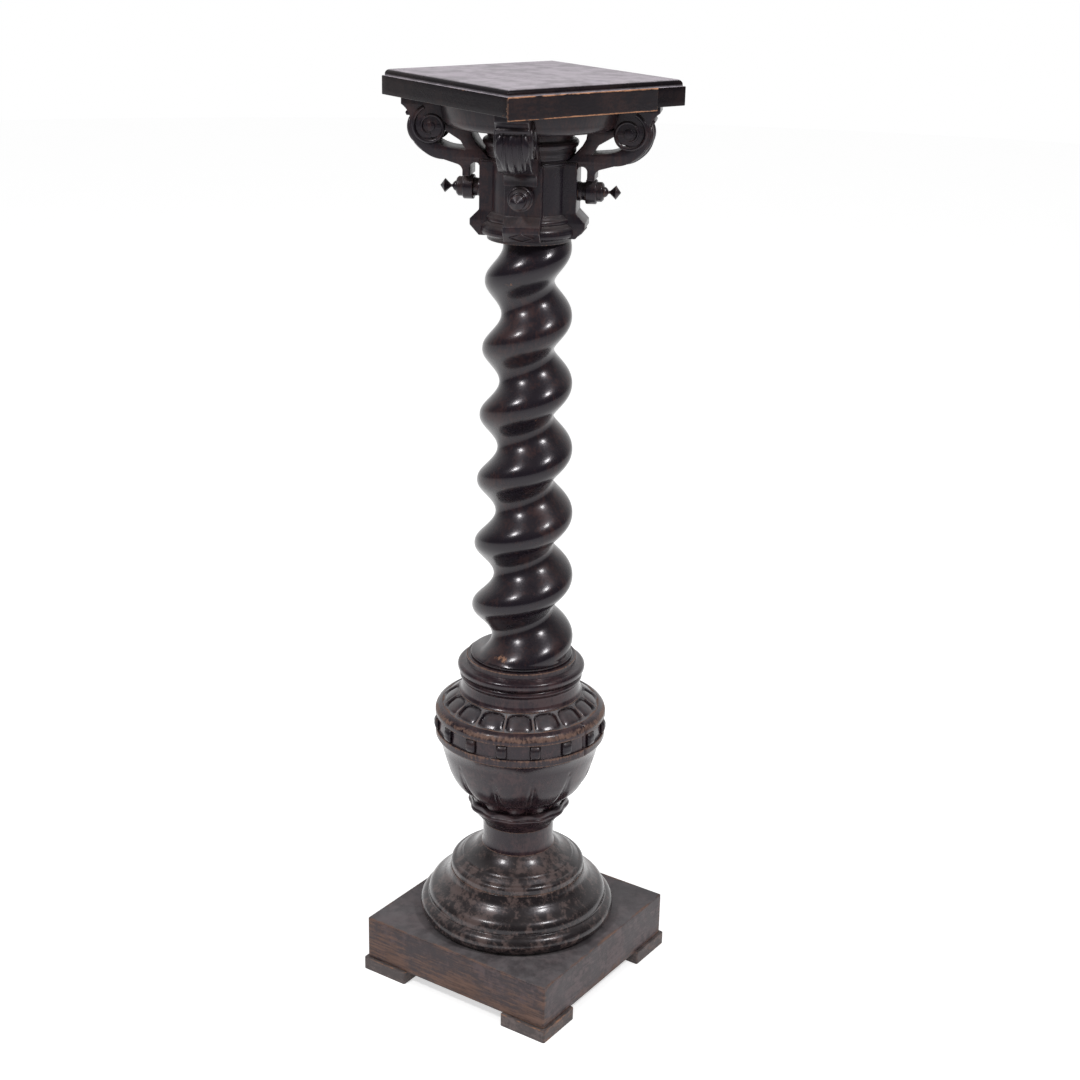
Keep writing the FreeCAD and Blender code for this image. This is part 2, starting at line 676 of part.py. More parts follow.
def make_twist(document, d, level):
    """The barley-twist column: a level round section carried up a narrowing helix.

    The section's centre keeps to a cone-shaped helix, so every level cut of the column is a
    plain circle that stands off the axis by the throw.
    """
    twist = Piece(document, "twist_column")
    helix = document.addObject("Part::Helix", "twist_path")
    helix.setExpression("Pitch", d.twist_pitch.text)
    helix.setExpression("Height", d.column_height.text)
    helix.setExpression("Radius", d.twist_low_throw.text)
    narrowing = (d.twist_high_throw - d.twist_low_throw) / d.column_height
    helix.setExpression("Angle", "atan(%s)" % narrowing.text)
    document.recompute()
    low = twist.sketch("XY_Plane")
    circle(low, d.twist_low_throw, 0, d.twist_low_radius)
    high = twist.sketch("XY_Plane")
    turns = d.column_height / d.twist_pitch * 360
    end_x = Size(d.twist_high_throw.number * math.cos(math.radians(turns.number)),
                 "(%s * cos(%s * 1deg))" % (d.twist_high_throw.text, turns.text))
    end_y = Size(d.twist_high_throw.number * math.sin(math.radians(turns.number)),
                 "(%s * sin(%s * 1deg))" % (d.twist_high_throw.text, turns.text))
    circle(high, end_x, end_y, d.twist_high_radius)
    twist.shift(high, z=d.column_height)
    sweep = twist.feature("AdditivePipe", low)
    sweep.Spine = (helix, ["Edge1"])
    sweep.Mode = "Fixed"
    sweep.Transformation = "Multisection"
    sweep.Sections = [(high, [""])]
    foot = Outline(0, -d.pivot_length).line(d.pivot_radius, -d.pivot_length)
    foot.line(d.pivot_radius, 0)
    foot.line(d.twist_foot_radius - 1, 0).line(d.twist_foot_radius, 1)
    foot.line(d.twist_foot_radius, d.twist_foot_height * 0.6)
    foot.line(d.twist_foot_radius - 2, d.twist_foot_height)
    twist.turn(foot.line(0, d.twist_foot_height))
    head = d.column_height + d.drum_height + d.head_dowel_length
    twist.turn(shaft(d.dowel_radius, d.column_height - 1, head))
    twist.place(z=level.twist, turn=d.twist_phase - d.rest_turn)


def make_drum(document, d, level):
    """The capital's drum: moulded foot and head, and four housings for the pilasters."""
    drum = Piece(document, "capital_drum")
    bore = d.dowel_radius + d.glue_gap
    foot = d.drum_base_height
    head = d.drum_height - d.drum_cap_height
    throat = d.drum_radius + 3.5
    outline = Outline(bore, 0).line(throat, 0).line(throat, foot * 0.12)
    outline.line(d.drum_base_radius, foot * 0.26)
    outline.arc(d.drum_base_radius - 4, foot * 0.64, 0.12)
    outline.line(d.drum_base_radius - 6.5, foot * 0.70)
    outline.arc(d.drum_radius + 2, foot, 0.20)
    outline.line(d.drum_radius, foot + 1).line(d.drum_radius, head - 3)
    outline.arc(d.drum_radius + 1, head + 2, 0.45)
    outline.line(d.drum_cap_radius - 1.5, head + 5).line(d.drum_cap_radius - 1.5, head + 9)
    outline.line(d.drum_cap_radius, head + 10).line(d.drum_cap_radius, head + 16)
    outline.arc(d.drum_cove_radius + 2, head + 25, 0.35)
    outline.line(d.drum_cove_radius, head + 25)
    outline.arc(d.drum_bead_radius, d.drum_height, -0.15)
    drum.turn(outline.line(bore, d.drum_height))
    reach = d.drum_base_radius + 2
    pilaster_top = d.drum_height - d.drum_cap_height
    low = drum.sketch("XY_Plane", strip_of(d.pilaster_back, reach, d.pilaster_width))
    housing = drum.pocket(low, pilaster_top)
    high = drum.sketch("XY_Plane", strip_of(d.pilaster_back, reach, d.bracket_width))
    slot = drum.pocket(high, d.drum_height)
    drum.repeat([housing, slot], 4)
    drum.place(z=level.drum, turn=as_size(45) - d.rest_turn)


def make_disc(document, d, level):
    """The round disc under the board, with housings for the brackets and screw holes."""
    disc = Piece(document, "capital_disc")
    bore = d.dowel_radius + d.glue_gap
    bore_top = d.head_dowel_length + d.end_gap
    outline = Outline(bore, 0).line(d.disc_foot_radius, 0)
    outline.arc(d.disc_radius - 3.5, d.disc_height * 0.34, 0.18)
    outline.arc(d.disc_radius, d.disc_height, 0.03)
    disc.turn(outline.line(0, d.disc_height).line(0, bore_top).line(bore, bore_top))
    housing = disc.sketch("XY_Plane", strip_of(d.strut_seat, d.disc_radius + 5, d.bracket_width))
    cut = disc.pocket(housing, d.disc_height)
    hole_sketch = disc.sketch("XZ_Plane", screw_hole_outline(d, d.disc_height + d.end_gap))
    quarter = (d.top_screw_place * d.top_screw_place / 2).root()
    disc.shift(hole_sketch, x=quarter, z=quarter)
    hole = disc.turn(None, kind="Groove", sketch=hole_sketch)
    disc.repeat([cut, hole], 4)
    disc.place(z=level.disc, turn=as_size(45) - d.rest_turn)


def make_top_screws(document, d, level):
    """The four screws that hold the board down on the disc."""
    screws = Piece(document, "top_screws")
    screws.body.AllowCompound = True
    sketch = screws.sketch("XZ_Plane", screw_outline(d, d.top_screw_length))
    quarter = (d.top_screw_place * d.top_screw_place / 2).root()
    screws.shift(sketch, x=quarter, z=quarter)
    screw = screws.turn(None, sketch=sketch)
    screws.repeat([screw], SCREW_COUNT)
    screws.place(z=level.disc + d.screw_sink, turn=as_size(45) - d.rest_turn)


def make_pilasters(document, d, level):
    """The four flat pilasters let into the drum, each with a block at its foot."""
    height = d.drum_height - d.drum_cap_height - d.pilaster_lift
    nose = d.pilaster_face + d.nose_reach
    slope_top = d.nose_rise + d.nose_face
    shank = d.shank_radius + d.glue_gap
    for number, quarter in enumerate(QUARTERS, start=1):
        pilaster = Piece(document, "pilaster_%d" % number)
        outline = Outline(d.pilaster_back, 0).line(d.pilaster_face, 0)
        outline.line(nose, d.nose_rise).line(nose, slope_top)
        outline.line(d.pilaster_face, slope_top + d.nose_reach)
        outline.line(d.pilaster_face, height)
        sketch = pilaster.sketch("XZ_Plane", outline.line(d.pilaster_back, height))
        pilaster.pad(sketch, d.pilaster_width, symmetric=True)
        hole = shaft_along(d.pilaster_back + d.end_gap, d.pilaster_face + 1, shank)
        bore = pilaster.sketch("XZ_Plane", hole)
        pilaster.shift(bore, y=height - d.boss_drop)
        pilaster.turn(None, kind="Groove", axis="H_Axis", sketch=bore)
        pilaster.place(z=level.drum + d.pilaster_lift, turn=as_size(quarter) - d.rest_turn)


def shaft_along(start, end, radius):
    """Half the outline of a plain round shaft that lies along X."""
    return Outline(start, 0).line(end, 0).line(end, radius).line(start, radius)


def strut_knee(d):
    """The point where a bracket's straight strut bends down to the pilaster."""
    return d.pilaster_face + 11, -d.drum_cap_height - d.disc_height + 17


def bracket_outline(d):
    """The outline of a bracket, as distance from the axis and height above its own top.

    It starts at the inner end under the board, goes down the strut to the pilaster, round
    the foot of the hanger, out round the scroll and up to the cornice.
    """
    shelf = -d.drum_cap_height - d.disc_height
    hanger_foot = shelf - d.boss_drop + d.boss_radius
    eye = d.scroll_eye_reach
    eye_level = -d.scroll_eye_drop
    scroll = d.scroll_radius
    knee, knee_level = strut_knee(d)
    outline = Outline(d.strut_seat, 0).line(d.strut_seat, -d.disc_height)
    outline.line(d.strut_seat - 5, -d.disc_height).line(knee, knee_level)
    outline.arc(d.pilaster_back + 4, shelf, -0.06)
    outline.line(d.pilaster_face, shelf).line(d.pilaster_face, shelf - 7)
    outline.arc(d.hanger_back, shelf - 9, -0.35)
    outline.line(d.hanger_back, hanger_foot).line(d.hanger_front, hanger_foot)
    outline.line(d.hanger_front, hanger_foot + 6.5)
    outline.arc(d.hanger_front + 6.5, hanger_foot + 13.5, -0.15)
    outline.line(eye - scroll * 0.6, eye_level - scroll * 1.47)
    outline.arc(eye + scroll * 0.47, eye_level - scroll * 1.02, 0.10)
    outline.arc(eye + scroll * 0.94, eye_level + scroll * 0.39, 0.153)
    outline.arc(d.bracket_reach, -d.cornice_height, -0.08)
    return outline.line(d.bracket_reach, 0)


def opening_outline(d):
    """The opening between a bracket's strut, its lower edge and its scroll."""
    eye = d.scroll_eye_reach
    eye_level = -d.scroll_eye_drop
    scroll = d.scroll_radius
    knee, knee_level = strut_knee(d)
    outline = Outline(knee + 6, knee_level - 6.5)
    outline.line(eye - scroll * 0.98, eye_level - scroll * 0.92)
    outline.arc(eye, eye_level - scroll * 0.51, 0.08)
    outline.arc(eye - scroll * 0.59, eye_level - scroll * 0.12, -0.2)
    return outline.line(knee + 12, knee_level + 3.5)


def make_brackets(document, d, level):
    """The four scroll brackets: strut, scroll and hanger cut from one board, with raised eyes."""
    for number, quarter in enumerate(QUARTERS, start=1):
        bracket = Piece(document, "bracket_%d" % number)
        bracket.pad(bracket.sketch("XZ_Plane", bracket_outline(d)), d.bracket_width, symmetric=True)
        eye = bracket.sketch("XZ_Plane")
        circle(eye, d.scroll_eye_reach, -d.scroll_eye_drop, d.scroll_eye_radius)
        bracket.pad(eye, d.bracket_width + d.scroll_eye_lift * 2, symmetric=True)
        opening = bracket.sketch("XZ_Plane", opening_outline(d))
        cut = bracket.feature("Pocket", opening)
        cut.Type = "ThroughAll"
        cut.SideType = "Symmetric"
        bracket.place(z=level.board, turn=as_size(quarter) - d.rest_turn)


def make_bosses(document, d, level):
    """The spacer ring, the turned boss and the finial in front of each pilaster."""
    hole = d.shank_radius + d.glue_gap
    spacer_end = d.pilaster_face + d.spacer_length
    boss_end = spacer_end + d.boss_length
    front = boss_end + d.button_length
    bevel = d.button_length * 0.3
    neck = front + d.finial_length * 0.3
    belly = front + d.finial_length * 0.7
    for number, quarter in enumerate(QUARTERS, start=1):
        turn = as_size(quarter) - d.rest_turn
        spacer = Piece(document, "spacer_%d" % number)
        ring = Outline(d.pilaster_face, hole).line(spacer_end, hole)
        ring.line(spacer_end, d.spacer_radius).arc(d.pilaster_face, d.spacer_radius, -0.1)
        spacer.turn(ring, axis="H_Axis")
        spacer.place(z=level.boss, turn=turn)
        boss = Piece(document, "boss_%d" % number)
        block = Outline(spacer_end, hole).line(front, hole).line(front, d.button_radius - bevel)
        block.line(front - bevel, d.button_radius).line(boss_end + 1, d.button_radius)
        block.line(boss_end, d.button_radius - 1).line(boss_end, d.boss_radius - 1)
        block.line(boss_end - 1, d.boss_radius).line(spacer_end, d.boss_radius)
        boss.turn(block, axis="H_Axis")
        boss.place(z=level.boss, turn=turn)
        finial = Piece(document, "finial_%d" % number)
        tail = d.pilaster_back + d.end_gap * 2
        spike = Outline(tail, 0).line(front + d.finial_length, 0).line(belly, d.finial_radius)
        spike.line(neck + 1, d.finial_neck).line(neck, d.finial_neck)
        spike.arc(front, d.button_radius * 0.55, 0.15)
        spike.line(front, d.shank_radius).line(tail, d.shank_radius)
        finial.turn(spike, axis="H_Axis")
        finial.place(z=level.boss, turn=turn)


def make_board(document, d, level):
    """The square board: upright edge, step and rounded upper edge, with the strip's recess."""
    board = Piece(document, "top_board")
    board.pad(board.sketch("XY_Plane", square(d.board_width)), d.board_edge_height)
    upper = board.sketch("XY_Plane", square(d.board_width - d.board_step * 2))
    board.pad(upper, d.board_height)
    board.soften("Fillet", d.board_round, is_level(d.board_height.number))
    recess = board.sketch("XY_Plane", strip_sides(d, d.board_width / 2 - d.strip_inset,
                                                  d.board_width / 2 + d.end_gap))
    board.pocket(recess, d.strip_height - d.strip_hang)
    pilot = board.sketch("XY_Plane")
    circle(pilot, d.top_screw_place, 0, d.screw_radius + d.glue_gap)
    depth = d.top_screw_length + d.screw_sink - d.disc_height + d.end_gap
    hole = board.pocket(pilot, depth)
    board.repeat([hole], SCREW_COUNT)
    board.place(z=level.board, turn=-d.rest_turn)


def strip_sides(d, inner, outer):
    """The plan of the edge strip, from one corner of the board along its side."""
    near = -d.board_width / 2
    far = near + d.strip_length
    return Outline(inner, near).line(outer, near).line(outer, far).line(inner, far)


def make_edge_strip(document, d, level):
    """The thin strip let into one edge of the board."""
    strip = Piece(document, "edge_strip")
    inner = d.board_width / 2 - d.strip_inset
    strip.pad(strip.sketch("XY_Plane", strip_sides(d, inner, inner + d.strip_thickness)),
              d.strip_height)
    strip.place(z=level.board - d.strip_hang, turn=-d.rest_turn)


def check(document):
    """Stop if any object failed or any piece has no sound shape."""
    for item in document.Objects:
        for word in ("Invalid", "Error"):
            if word in item.State:
                raise RuntimeError("%s is %s" % (item.Label, item.State))
    for piece in pieces(document):
        if piece.Shape.isNull() or not piece.Shape.isValid():
            raise RuntimeError("%s has no sound shape" % piece.Label)


def pieces(document):
    """The bodies of the document."""
    return [item for item in document.Objects if item.TypeId == "PartDesign::Body"]


def main():
    """Build every piece, check it and write it out."""
    document = FreeCAD.newDocument("PedestalStand")
    d = read_sizes(document)
    level = Levels(d)
    make_foot_pads(document, d)
    make_pad_screws(document, d)
    make_plinth(document, d, level)
    make_base_ring(document, d, level)
    make_base_tier(document, d, level)
    make_stem(document, d, level)
    make_urn_bowl(document, d, level)
    make_urn_band(document, d, level)
    make_band_studs(document, d, level)
    make_urn_shoulder(document, d, level)
    make_urn_collar(document, d, level)
    make_twist(document, d, level)
    make_drum(document, d, level)
    make_disc(document, d, level)
    make_top_screws(document, d, level)
    make_pilasters(document, d, level)
    make_brackets(document, d, level)
    make_bosses(document, d, level)
    make_board(document, d, level)
    make_edge_strip(document, d, level)
    document.recompute()
    check(document)
    os.makedirs("parts", exist_ok=True)
    for piece in pieces(document):
        piece.Shape.exportStep("parts/%s.step" % piece.Label)
        box = piece.Shape.optimalBoundingBox(False)
        print(piece.Label, len(piece.Shape.Solids), round(piece.Shape.Volume), box)


main()
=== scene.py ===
import math
from collections import namedtuple

import bmesh
import bpy
import numpy as np
from mathutils import Matrix, Vector
from mathutils.geometry import tessellate_polygon


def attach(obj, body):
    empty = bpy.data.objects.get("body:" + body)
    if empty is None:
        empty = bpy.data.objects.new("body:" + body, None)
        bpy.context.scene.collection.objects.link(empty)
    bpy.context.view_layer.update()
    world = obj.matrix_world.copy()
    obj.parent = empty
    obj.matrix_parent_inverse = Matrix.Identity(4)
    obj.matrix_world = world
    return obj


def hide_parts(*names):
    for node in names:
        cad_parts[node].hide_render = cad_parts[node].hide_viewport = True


bl_info = {
    "name": "Barley-twist pedestal stand",
    "version": (1, 0, 0),
    "blender": (4, 5, 0),
    "location": "3D View > Sidebar > Stand",
    "description": "Builds the carved and turned surfaces, woods and studio of a pedestal stand",
    "category": "Add Mesh",
}

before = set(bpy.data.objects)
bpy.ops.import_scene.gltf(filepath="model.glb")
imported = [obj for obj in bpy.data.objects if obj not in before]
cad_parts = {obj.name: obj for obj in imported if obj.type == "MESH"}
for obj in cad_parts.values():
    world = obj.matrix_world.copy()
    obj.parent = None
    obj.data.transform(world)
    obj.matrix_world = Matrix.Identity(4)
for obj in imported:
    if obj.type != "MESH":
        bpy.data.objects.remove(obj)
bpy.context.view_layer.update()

MM = 0.001
BASE = "base"
COLUMN = "column"
QUARTERS = (45.0, 135.0, -135.0, -45.0)
EDGE = "worn_edge"
HOLLOW = "hollow"

# Heights of the layers above the floor, in millimetres.
PLINTH_LOW = 17.6
RING_LOW = 76.7
TIER_LOW = 143.0
STEM_LOW = 179.0
BOWL_LOW = 213.0
BAND_LOW = 338.0
SHOULDER_LOW = 381.0
COLLAR_LOW = 397.4
TWIST_LOW = 447.3
DRUM_LOW = 979.0
DISC_LOW = 1110.0
BOARD_LOW = 1139.0
BOSS_LEVEL = 1037.0


# ---------------------------------------------------------------- settings

def colour(name, value, description):
    """A colour that a user can change."""
    return bpy.props.FloatVectorProperty(
        name=name, description=description, subtype="COLOR", size=3, min=0.0, max=1.0,
        default=value)


def length(name, value, description):
    """A length that a user can change, in metres."""
    return bpy.props.FloatProperty(
        name=name, description=description, default=value, unit="LENGTH", subtype="DISTANCE")


def share(name, value, description):
    """A plain factor that a user can change."""
    return bpy.props.FloatProperty(name=name, description=description, default=value, min=0.0)


def angle(name, degrees, description):
    """An angle that a user can change."""
    return bpy.props.FloatProperty(
        name=name, description=description, default=math.radians(degrees), unit="ROTATION",
        subtype="ANGLE")


class StandShapeSettings(bpy.types.PropertyGroup):
    """Sizes of the carving and the turning."""
    rest_turn: angle("Rest turn", -18.84, "Turn of the column against the foot")
    softness: length("Softness", 0.8 * MM, "Rounding of worn corners")
    twist_low_radius: length("Twist radius, low", 52.0 * MM, "Radius of the section at the foot")
    twist_high_radius: length("Twist radius, high", 40.5 * MM, "Radius of the section at the top")
    twist_low_throw: length("Twist throw, low", 13.5 * MM, "Distance off the axis at the foot")
    twist_high_throw: length("Twist throw, high", 10.0 * MM, "Distance off the axis at the top")
    twist_pitch: length("Twist pitch", 82.83 * MM, "Height of one whole turn")
    twist_phase: angle("Twist phase", -58.4, "Direction of the bulge at the foot")
    petal_count: bpy.props.IntProperty(
        name="Petals", description="Petals round the bowl", default=12, min=3)
    petal_depth: length("Petal depth", 7.0 * MM, "Depth of the veins at the petals' feet")
    lobe_count: bpy.props.IntProperty(
        name="Lobes", description="Lobes round the shoulder", default=16, min=3)
    lobe_height: length("Lobe height", 5.5 * MM, "Height of the shoulder's lobes")


class StandWoodSettings(bpy.types.PropertyGroup):
    """Colours and gloss of the woods."""
    ebony: colour("Ebony", (0.0095, 0.0068, 0.0108), "The blackened, polished wood")
    umber: colour("Umber", (0.0480, 0.0210, 0.0190), "Brown that shows through the black")
    bare: colour("Bare wood", (0.3300, 0.1700, 0.1000), "Wood laid bare at worn edges")
    rubbed: colour("Rubbed wood", (0.1700, 0.1020, 0.0780), "Duller brown of rubbed places")
    dust: colour("Dust", (0.1200, 0.1050, 0.1020), "Dust on ledges and in hollows")
    film: colour("Grey film", (0.1450, 0.1380, 0.1430), "Film on the plinth's top")
    # Painted sheen: this pale lilac is laid on the board's level top in place of the pale room's
    # reflection on its black polish.
    board_sheen: colour("Lilac", (0.4150, 0.3750, 0.4150), "The bloom on the board's top")
    urn_dark: colour("Urn dark", (0.0130, 0.0065, 0.0105), "The dark of the urn and stem")
    urn_brown: colour("Urn brown", (0.0600, 0.0300, 0.0310), "Brown in the urn and stem")
    base_dark: colour("Base dark", (0.0080, 0.0055, 0.0065), "The dark of the stepped base")
    base_brown: colour("Base brown", (0.1000, 0.0680, 0.0620), "Brown in the stepped base")
    plinth_dark: colour("Plinth dark", (0.0250, 0.0160, 0.0180), "The dark of the plinth")
    plinth_brown: colour("Plinth brown", (0.0850, 0.0560, 0.0580), "Brown in the plinth")
    pad_dark: colour("Pads dark", (0.0700, 0.0570, 0.0550), "The dark of the pads")
    pad_brown: colour("Pads brown", (0.1600, 0.1250, 0.1180), "Brown in the pads")
    board_dark: colour("Board dark", (0.0045, 0.0030, 0.0045), "The dark of the board")
    board_brown: colour("Board brown", (0.0240, 0.0120, 0.0110), "Brown in the board")
    strip_dark: colour("Strip dark", (0.0065, 0.0043, 0.0062), "The dark of the edge strip")
    strip_brown: colour("Strip brown", (0.0300, 0.0130, 0.0105), "Brown in the edge strip")
    strip_bare: colour("Strip bare", (0.4800, 0.2300, 0.1250), "Bare wood of the edge strip")
    gloss: share("Gloss", 0.22, "Roughness of the polished wood")


class StandStudioSettings(bpy.types.PropertyGroup):
    """The camera and the lamps."""
    camera_distance: length("Camera distance", 2.1753, "Level distance from the stand's axis")
    camera_height: length("Camera height", 1.3865, "Height of the camera above the floor")
    camera_bearing: angle("Camera bearing", 34.53, "Direction of the camera round the stand")
    camera_yaw: angle("Camera yaw", 0.542, "Turn of the camera away from the axis")
    camera_pitch: angle("Camera pitch", -19.863, "Tilt of the camera")
    camera_roll: angle("Camera roll", 1.265, "Roll of the camera")
    camera_lens: bpy.props.FloatProperty(
        name="Lens", description="Focal length on a 36 mm frame", default=61.69, unit="CAMERA")
    lamp_power: bpy.props.FloatProperty(
        name="Lamp power", description="Power of each soft lamp", default=28.0, unit="POWER")
    lamp_side: angle("Lamp side", 50.0, "Direction of each lamp away from the camera's")
    lamp_elevation: angle("Lamp elevation", 48.0, "Height of the lamps, as an angle")
    lamp_distance: length("Lamp distance", 2.6, "Distance of the lamps from the stand's middle")
    lamp_size: length("Lamp size", 0.34, "Side of the square lamps")
    room_light: share("Room light", 0.46, "Strength of the pale room round the stand")


# ---------------------------------------------------------------- outlines

# Points on an arc, the smallest turn in radians that counts as a corner, the largest share of a
# run that its rounding takes, and the reach and the whole bend by which edges are found.
ARC_STEPS = 14
SHARPEST = 0.35
CORNER_SHARE = 0.42
BEND_REACH = 1.6 * MM
FULL_BEND = 1.2

def arc_points(start, end, bulge, steps):
    """Points of an arc from start to end, without start.

    The arc swells to the right of its chord by bulge times the chord. Its half angle is
    twice the arctangent of twice the bulge, and the points keep even steps of angle.
    """
    if not bulge:
        return [end]
    half = 2.0 * math.atan(2.0 * bulge)
    chord = end - start
    right = np.array([chord[1], -chord[0]])
    turn = np.linspace(-half, half, steps + 1)[1:]
    along = 0.5 * (1.0 + np.sin(turn) / math.sin(half))
    aside = 0.5 * (np.cos(turn) - math.cos(half)) / math.sin(half)
    return list(start + along[:, None] * chord + aside[:, None] * right)


def outline(steps, closed=False):
    """An outline in metres from steps in millimetres: (x, y) straight or (x, y, bulge) round."""
    corners = [np.array(step[:2]) * MM for step in steps]
    bulges = [step[2] if len(step) > 2 else 0.0 for step in steps]
    points = [corners[0]]
    for number in range(1, len(steps)):
        points += arc_points(corners[number - 1], corners[number], bulges[number],
                             ARC_STEPS)
    if closed and np.linalg.norm(points[-1] - points[0]) < 1e-9:
        points.pop()
    return np.array(points)


def soften(points, radius, closed):
    """Round each sharp corner of an outline by a short parabola.

    A corner that turns more than SHARPEST radians is replaced by points of the parabola that
    starts and ends at most radius before and after it.
    """
    count = len(points)
    kept = []
    for number in range(count):
        here = points[number]
        if not closed and number in (0, count - 1):
            kept.append(here)
            continue
        back = points[number - 1] - here
        ahead = points[(number + 1) % count] - here
        back_length = np.linalg.norm(back)
        ahead_length = np.linalg.norm(ahead)
        cosine = -np.dot(back, ahead) / (back_length * ahead_length)
        if math.acos(max(-1.0, min(1.0, cosine))) < SHARPEST:
            kept.append(here)
            continue
        first = here + back * min(radius / back_length, CORNER_SHARE)
        last = here + ahead * min(radius / ahead_length, CORNER_SHARE)
        for t in (0.0, 0.25, 0.5, 0.75, 1.0):
            kept.append((1 - t) ** 2 * first + 2 * t * (1 - t) * here + t * t * last)
    return np.array(kept)


def refine(points, step, closed):
    """Add points so that no run of an outline is longer than step."""
    ends = np.roll(points, -1, axis=0) if closed else points[1:]
    starts = points if closed else points[:-1]
    runs = []
    for start, end in zip(starts, ends):
        parts = max(1, int(math.ceil(np.linalg.norm(end - start) / step)))
        runs.append(start + np.linspace(0, 1, parts, endpoint=False)[:, None] * (end - start))
    if not closed:
        runs.append(points[-1:])
    return np.concatenate(runs)


def convexity(points, closed):
    """How strongly an outline bends outwards, from -1 in a groove to 1 on an edge.

    The bend is the change of direction at each point, added up over the reach with a
    bell-shaped weight. Wood lies to the left of the outline's direction of travel.
    """
    ahead = np.roll(points, -1, axis=0) - points
    back = points - np.roll(points, 1, axis=0)
    cross = back[:, 0] * ahead[:, 1] - back[:, 1] * ahead[:, 0]
    bend = np.arctan2(cross, (back * ahead).sum(axis=1))
    if not closed:
        bend[[0, -1]] = 0.0
    gap = points[:, None, :] - points[None, :, :]
    weight = np.exp(-(gap ** 2).sum(axis=2) / (2 * (BEND_REACH / 2) ** 2))
    return np.clip(weight @ bend / FULL_BEND, -1.0, 1.0)


# ---------------------------------------------------------------- surfaces

Shell = namedtuple("Shell", "points quads triangles edge hollow")
NO_TRIANGLES = np.empty((0, 3), int)

# The angle from which an edge stays sharp, the distance within which points are merged, and the
# number of parts of a square's side, of its corner and of a level ring.
SHARP_ANGLE = math.radians(50)
MERGE = 1e-6
SIDE_PARTS = 24
CORNER_PARTS = 6
LEVEL_COLUMNS = 48


def turned(points, degrees):
    """Points turned about the upright axis, by the sine and cosine of the angle."""
    cosine = math.cos(math.radians(degrees))
    sine = math.sin(math.radians(degrees))
    x = points[..., 0] * cosine - points[..., 1] * sine
    y = points[..., 0] * sine + points[..., 1] * cosine
    return np.stack([x, y, points[..., 2]], axis=-1)


def surface(points, closed=False, capped=False, edge=0.0, hollow=0.0):
    """A surface on a grid of points whose columns close round.

    Each quad joins two neighbours of a row to the two of the next row. The rows close as well
    where closed is set, and capped ends are fans round the middle of the end row. Where the
    volume inside comes out negative, every face is turned over.
    """
    rows, columns = points.shape[:2]
    index = np.arange(rows * columns).reshape(rows, columns)
    low = index if closed else index[:-1]
    high = np.roll(index, -1, axis=0) if closed else index[1:]
    quads = np.stack([low, np.roll(low, -1, axis=1), np.roll(high, -1, axis=1), high], axis=-1)
    quads = quads.reshape(-1, 4)
    flat = points.reshape(-1, 3)
    edge = np.broadcast_to(edge, (rows, columns)).reshape(-1)
    hollow = np.broadcast_to(hollow, (rows, columns)).reshape(-1)
    corner = flat[quads]
    normal = np.cross(corner[:, 2] - corner[:, 0], corner[:, 3] - corner[:, 1])
    inside = (normal * (corner.mean(axis=1) - flat.mean(axis=0))).sum()
    triangles = NO_TRIANGLES
    if capped:
        flat = np.concatenate([flat, points[:1].mean(axis=1), points[-1:].mean(axis=1)])
        edge = np.append(edge, [0.0, 0.0])
        hollow = np.append(hollow, [0.0, 0.0])
        near = np.stack([np.roll(index[0], -1), index[0], np.full(columns, rows * columns)], 1)
        far = np.stack([index[-1], np.roll(index[-1], -1), np.full(columns, rows * columns + 1)], 1)
        triangles = np.concatenate([near, far])
    if inside < 0:
        quads = quads[:, ::-1]
        triangles = triangles[:, ::-1]
    return Shell(flat, quads, triangles, edge, hollow)


def add_piece(name, shells, finish, body, nodes):
    """Join surfaces into one mesh with a finish, and let it ride on a body for some nodes."""
    points, faces, edge, hollow = [], [], [], []
    start = 0
    for shell in shells:
        points.append(shell.points)
        faces += (shell.quads + start).tolist() + (shell.triangles + start).tolist()
        edge.append(shell.edge)
        hollow.append(shell.hollow)
        start += len(shell.points)
    mesh = bpy.data.meshes.new(name)
    mesh.from_pydata(np.concatenate(points).tolist(), [], faces)
    for label, values in ((EDGE, edge), (HOLLOW, hollow)):
        layer = mesh.attributes.new(label, "FLOAT", "POINT")
        layer.data.foreach_set("value", np.concatenate(values).astype(np.float32))
    work = bmesh.new()
    work.from_mesh(mesh)
    bmesh.ops.remove_doubles(work, verts=work.verts, dist=MERGE)
    work.to_mesh(mesh)
    work.free()
    mesh.shade_smooth()
    mesh.set_sharp_from_angle(angle=SHARP_ANGLE)
    mesh.materials.append(once(bpy.data.materials, finish, build_wood))
    piece = bpy.data.objects.new(name, mesh)
    bpy.context.scene.collection.objects.link(piece)
    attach(piece, body)
    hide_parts(*nodes)


def lathe(steps, low, closed=False, columns=192, carve=None, step=2.5):
    """A turned surface: an outline of radius and height carried round the upright axis.

    carve may change the grids of radius and height, given the angle of each column, and
    returns the new radius, the new height, more wear and more hollow, which is below nothing
    where the dust film is kept out; on the bowl's veins and scoops that is painted shade.
    """
    softness = bpy.context.scene.stand_shape.softness
    points = outline(steps, closed)
    points = refine(soften(points, softness, closed), step * MM, closed)
    bend = convexity(points, closed)[:, None]
    theta = np.linspace(0.0, 2 * math.pi, columns, endpoint=False)[None, :]
    radius = points[:, :1] + 0 * theta
    height = points[:, 1:] + 0 * theta
    edge = np.clip(bend, 0, 1) + 0 * theta
    hollow = np.clip(-bend, 0, 1) + 0 * theta
    if carve is not None:
        radius, height, wear, cut = carve(radius, height, theta)
        edge = np.maximum(edge, wear)
        hollow = np.where(cut < 0, cut, np.maximum(hollow, cut))
    grid = np.stack([radius * np.cos(theta), radius * np.sin(theta), height + low * MM], axis=-1)
    return surface(grid, closed=closed, edge=edge, hollow=hollow)


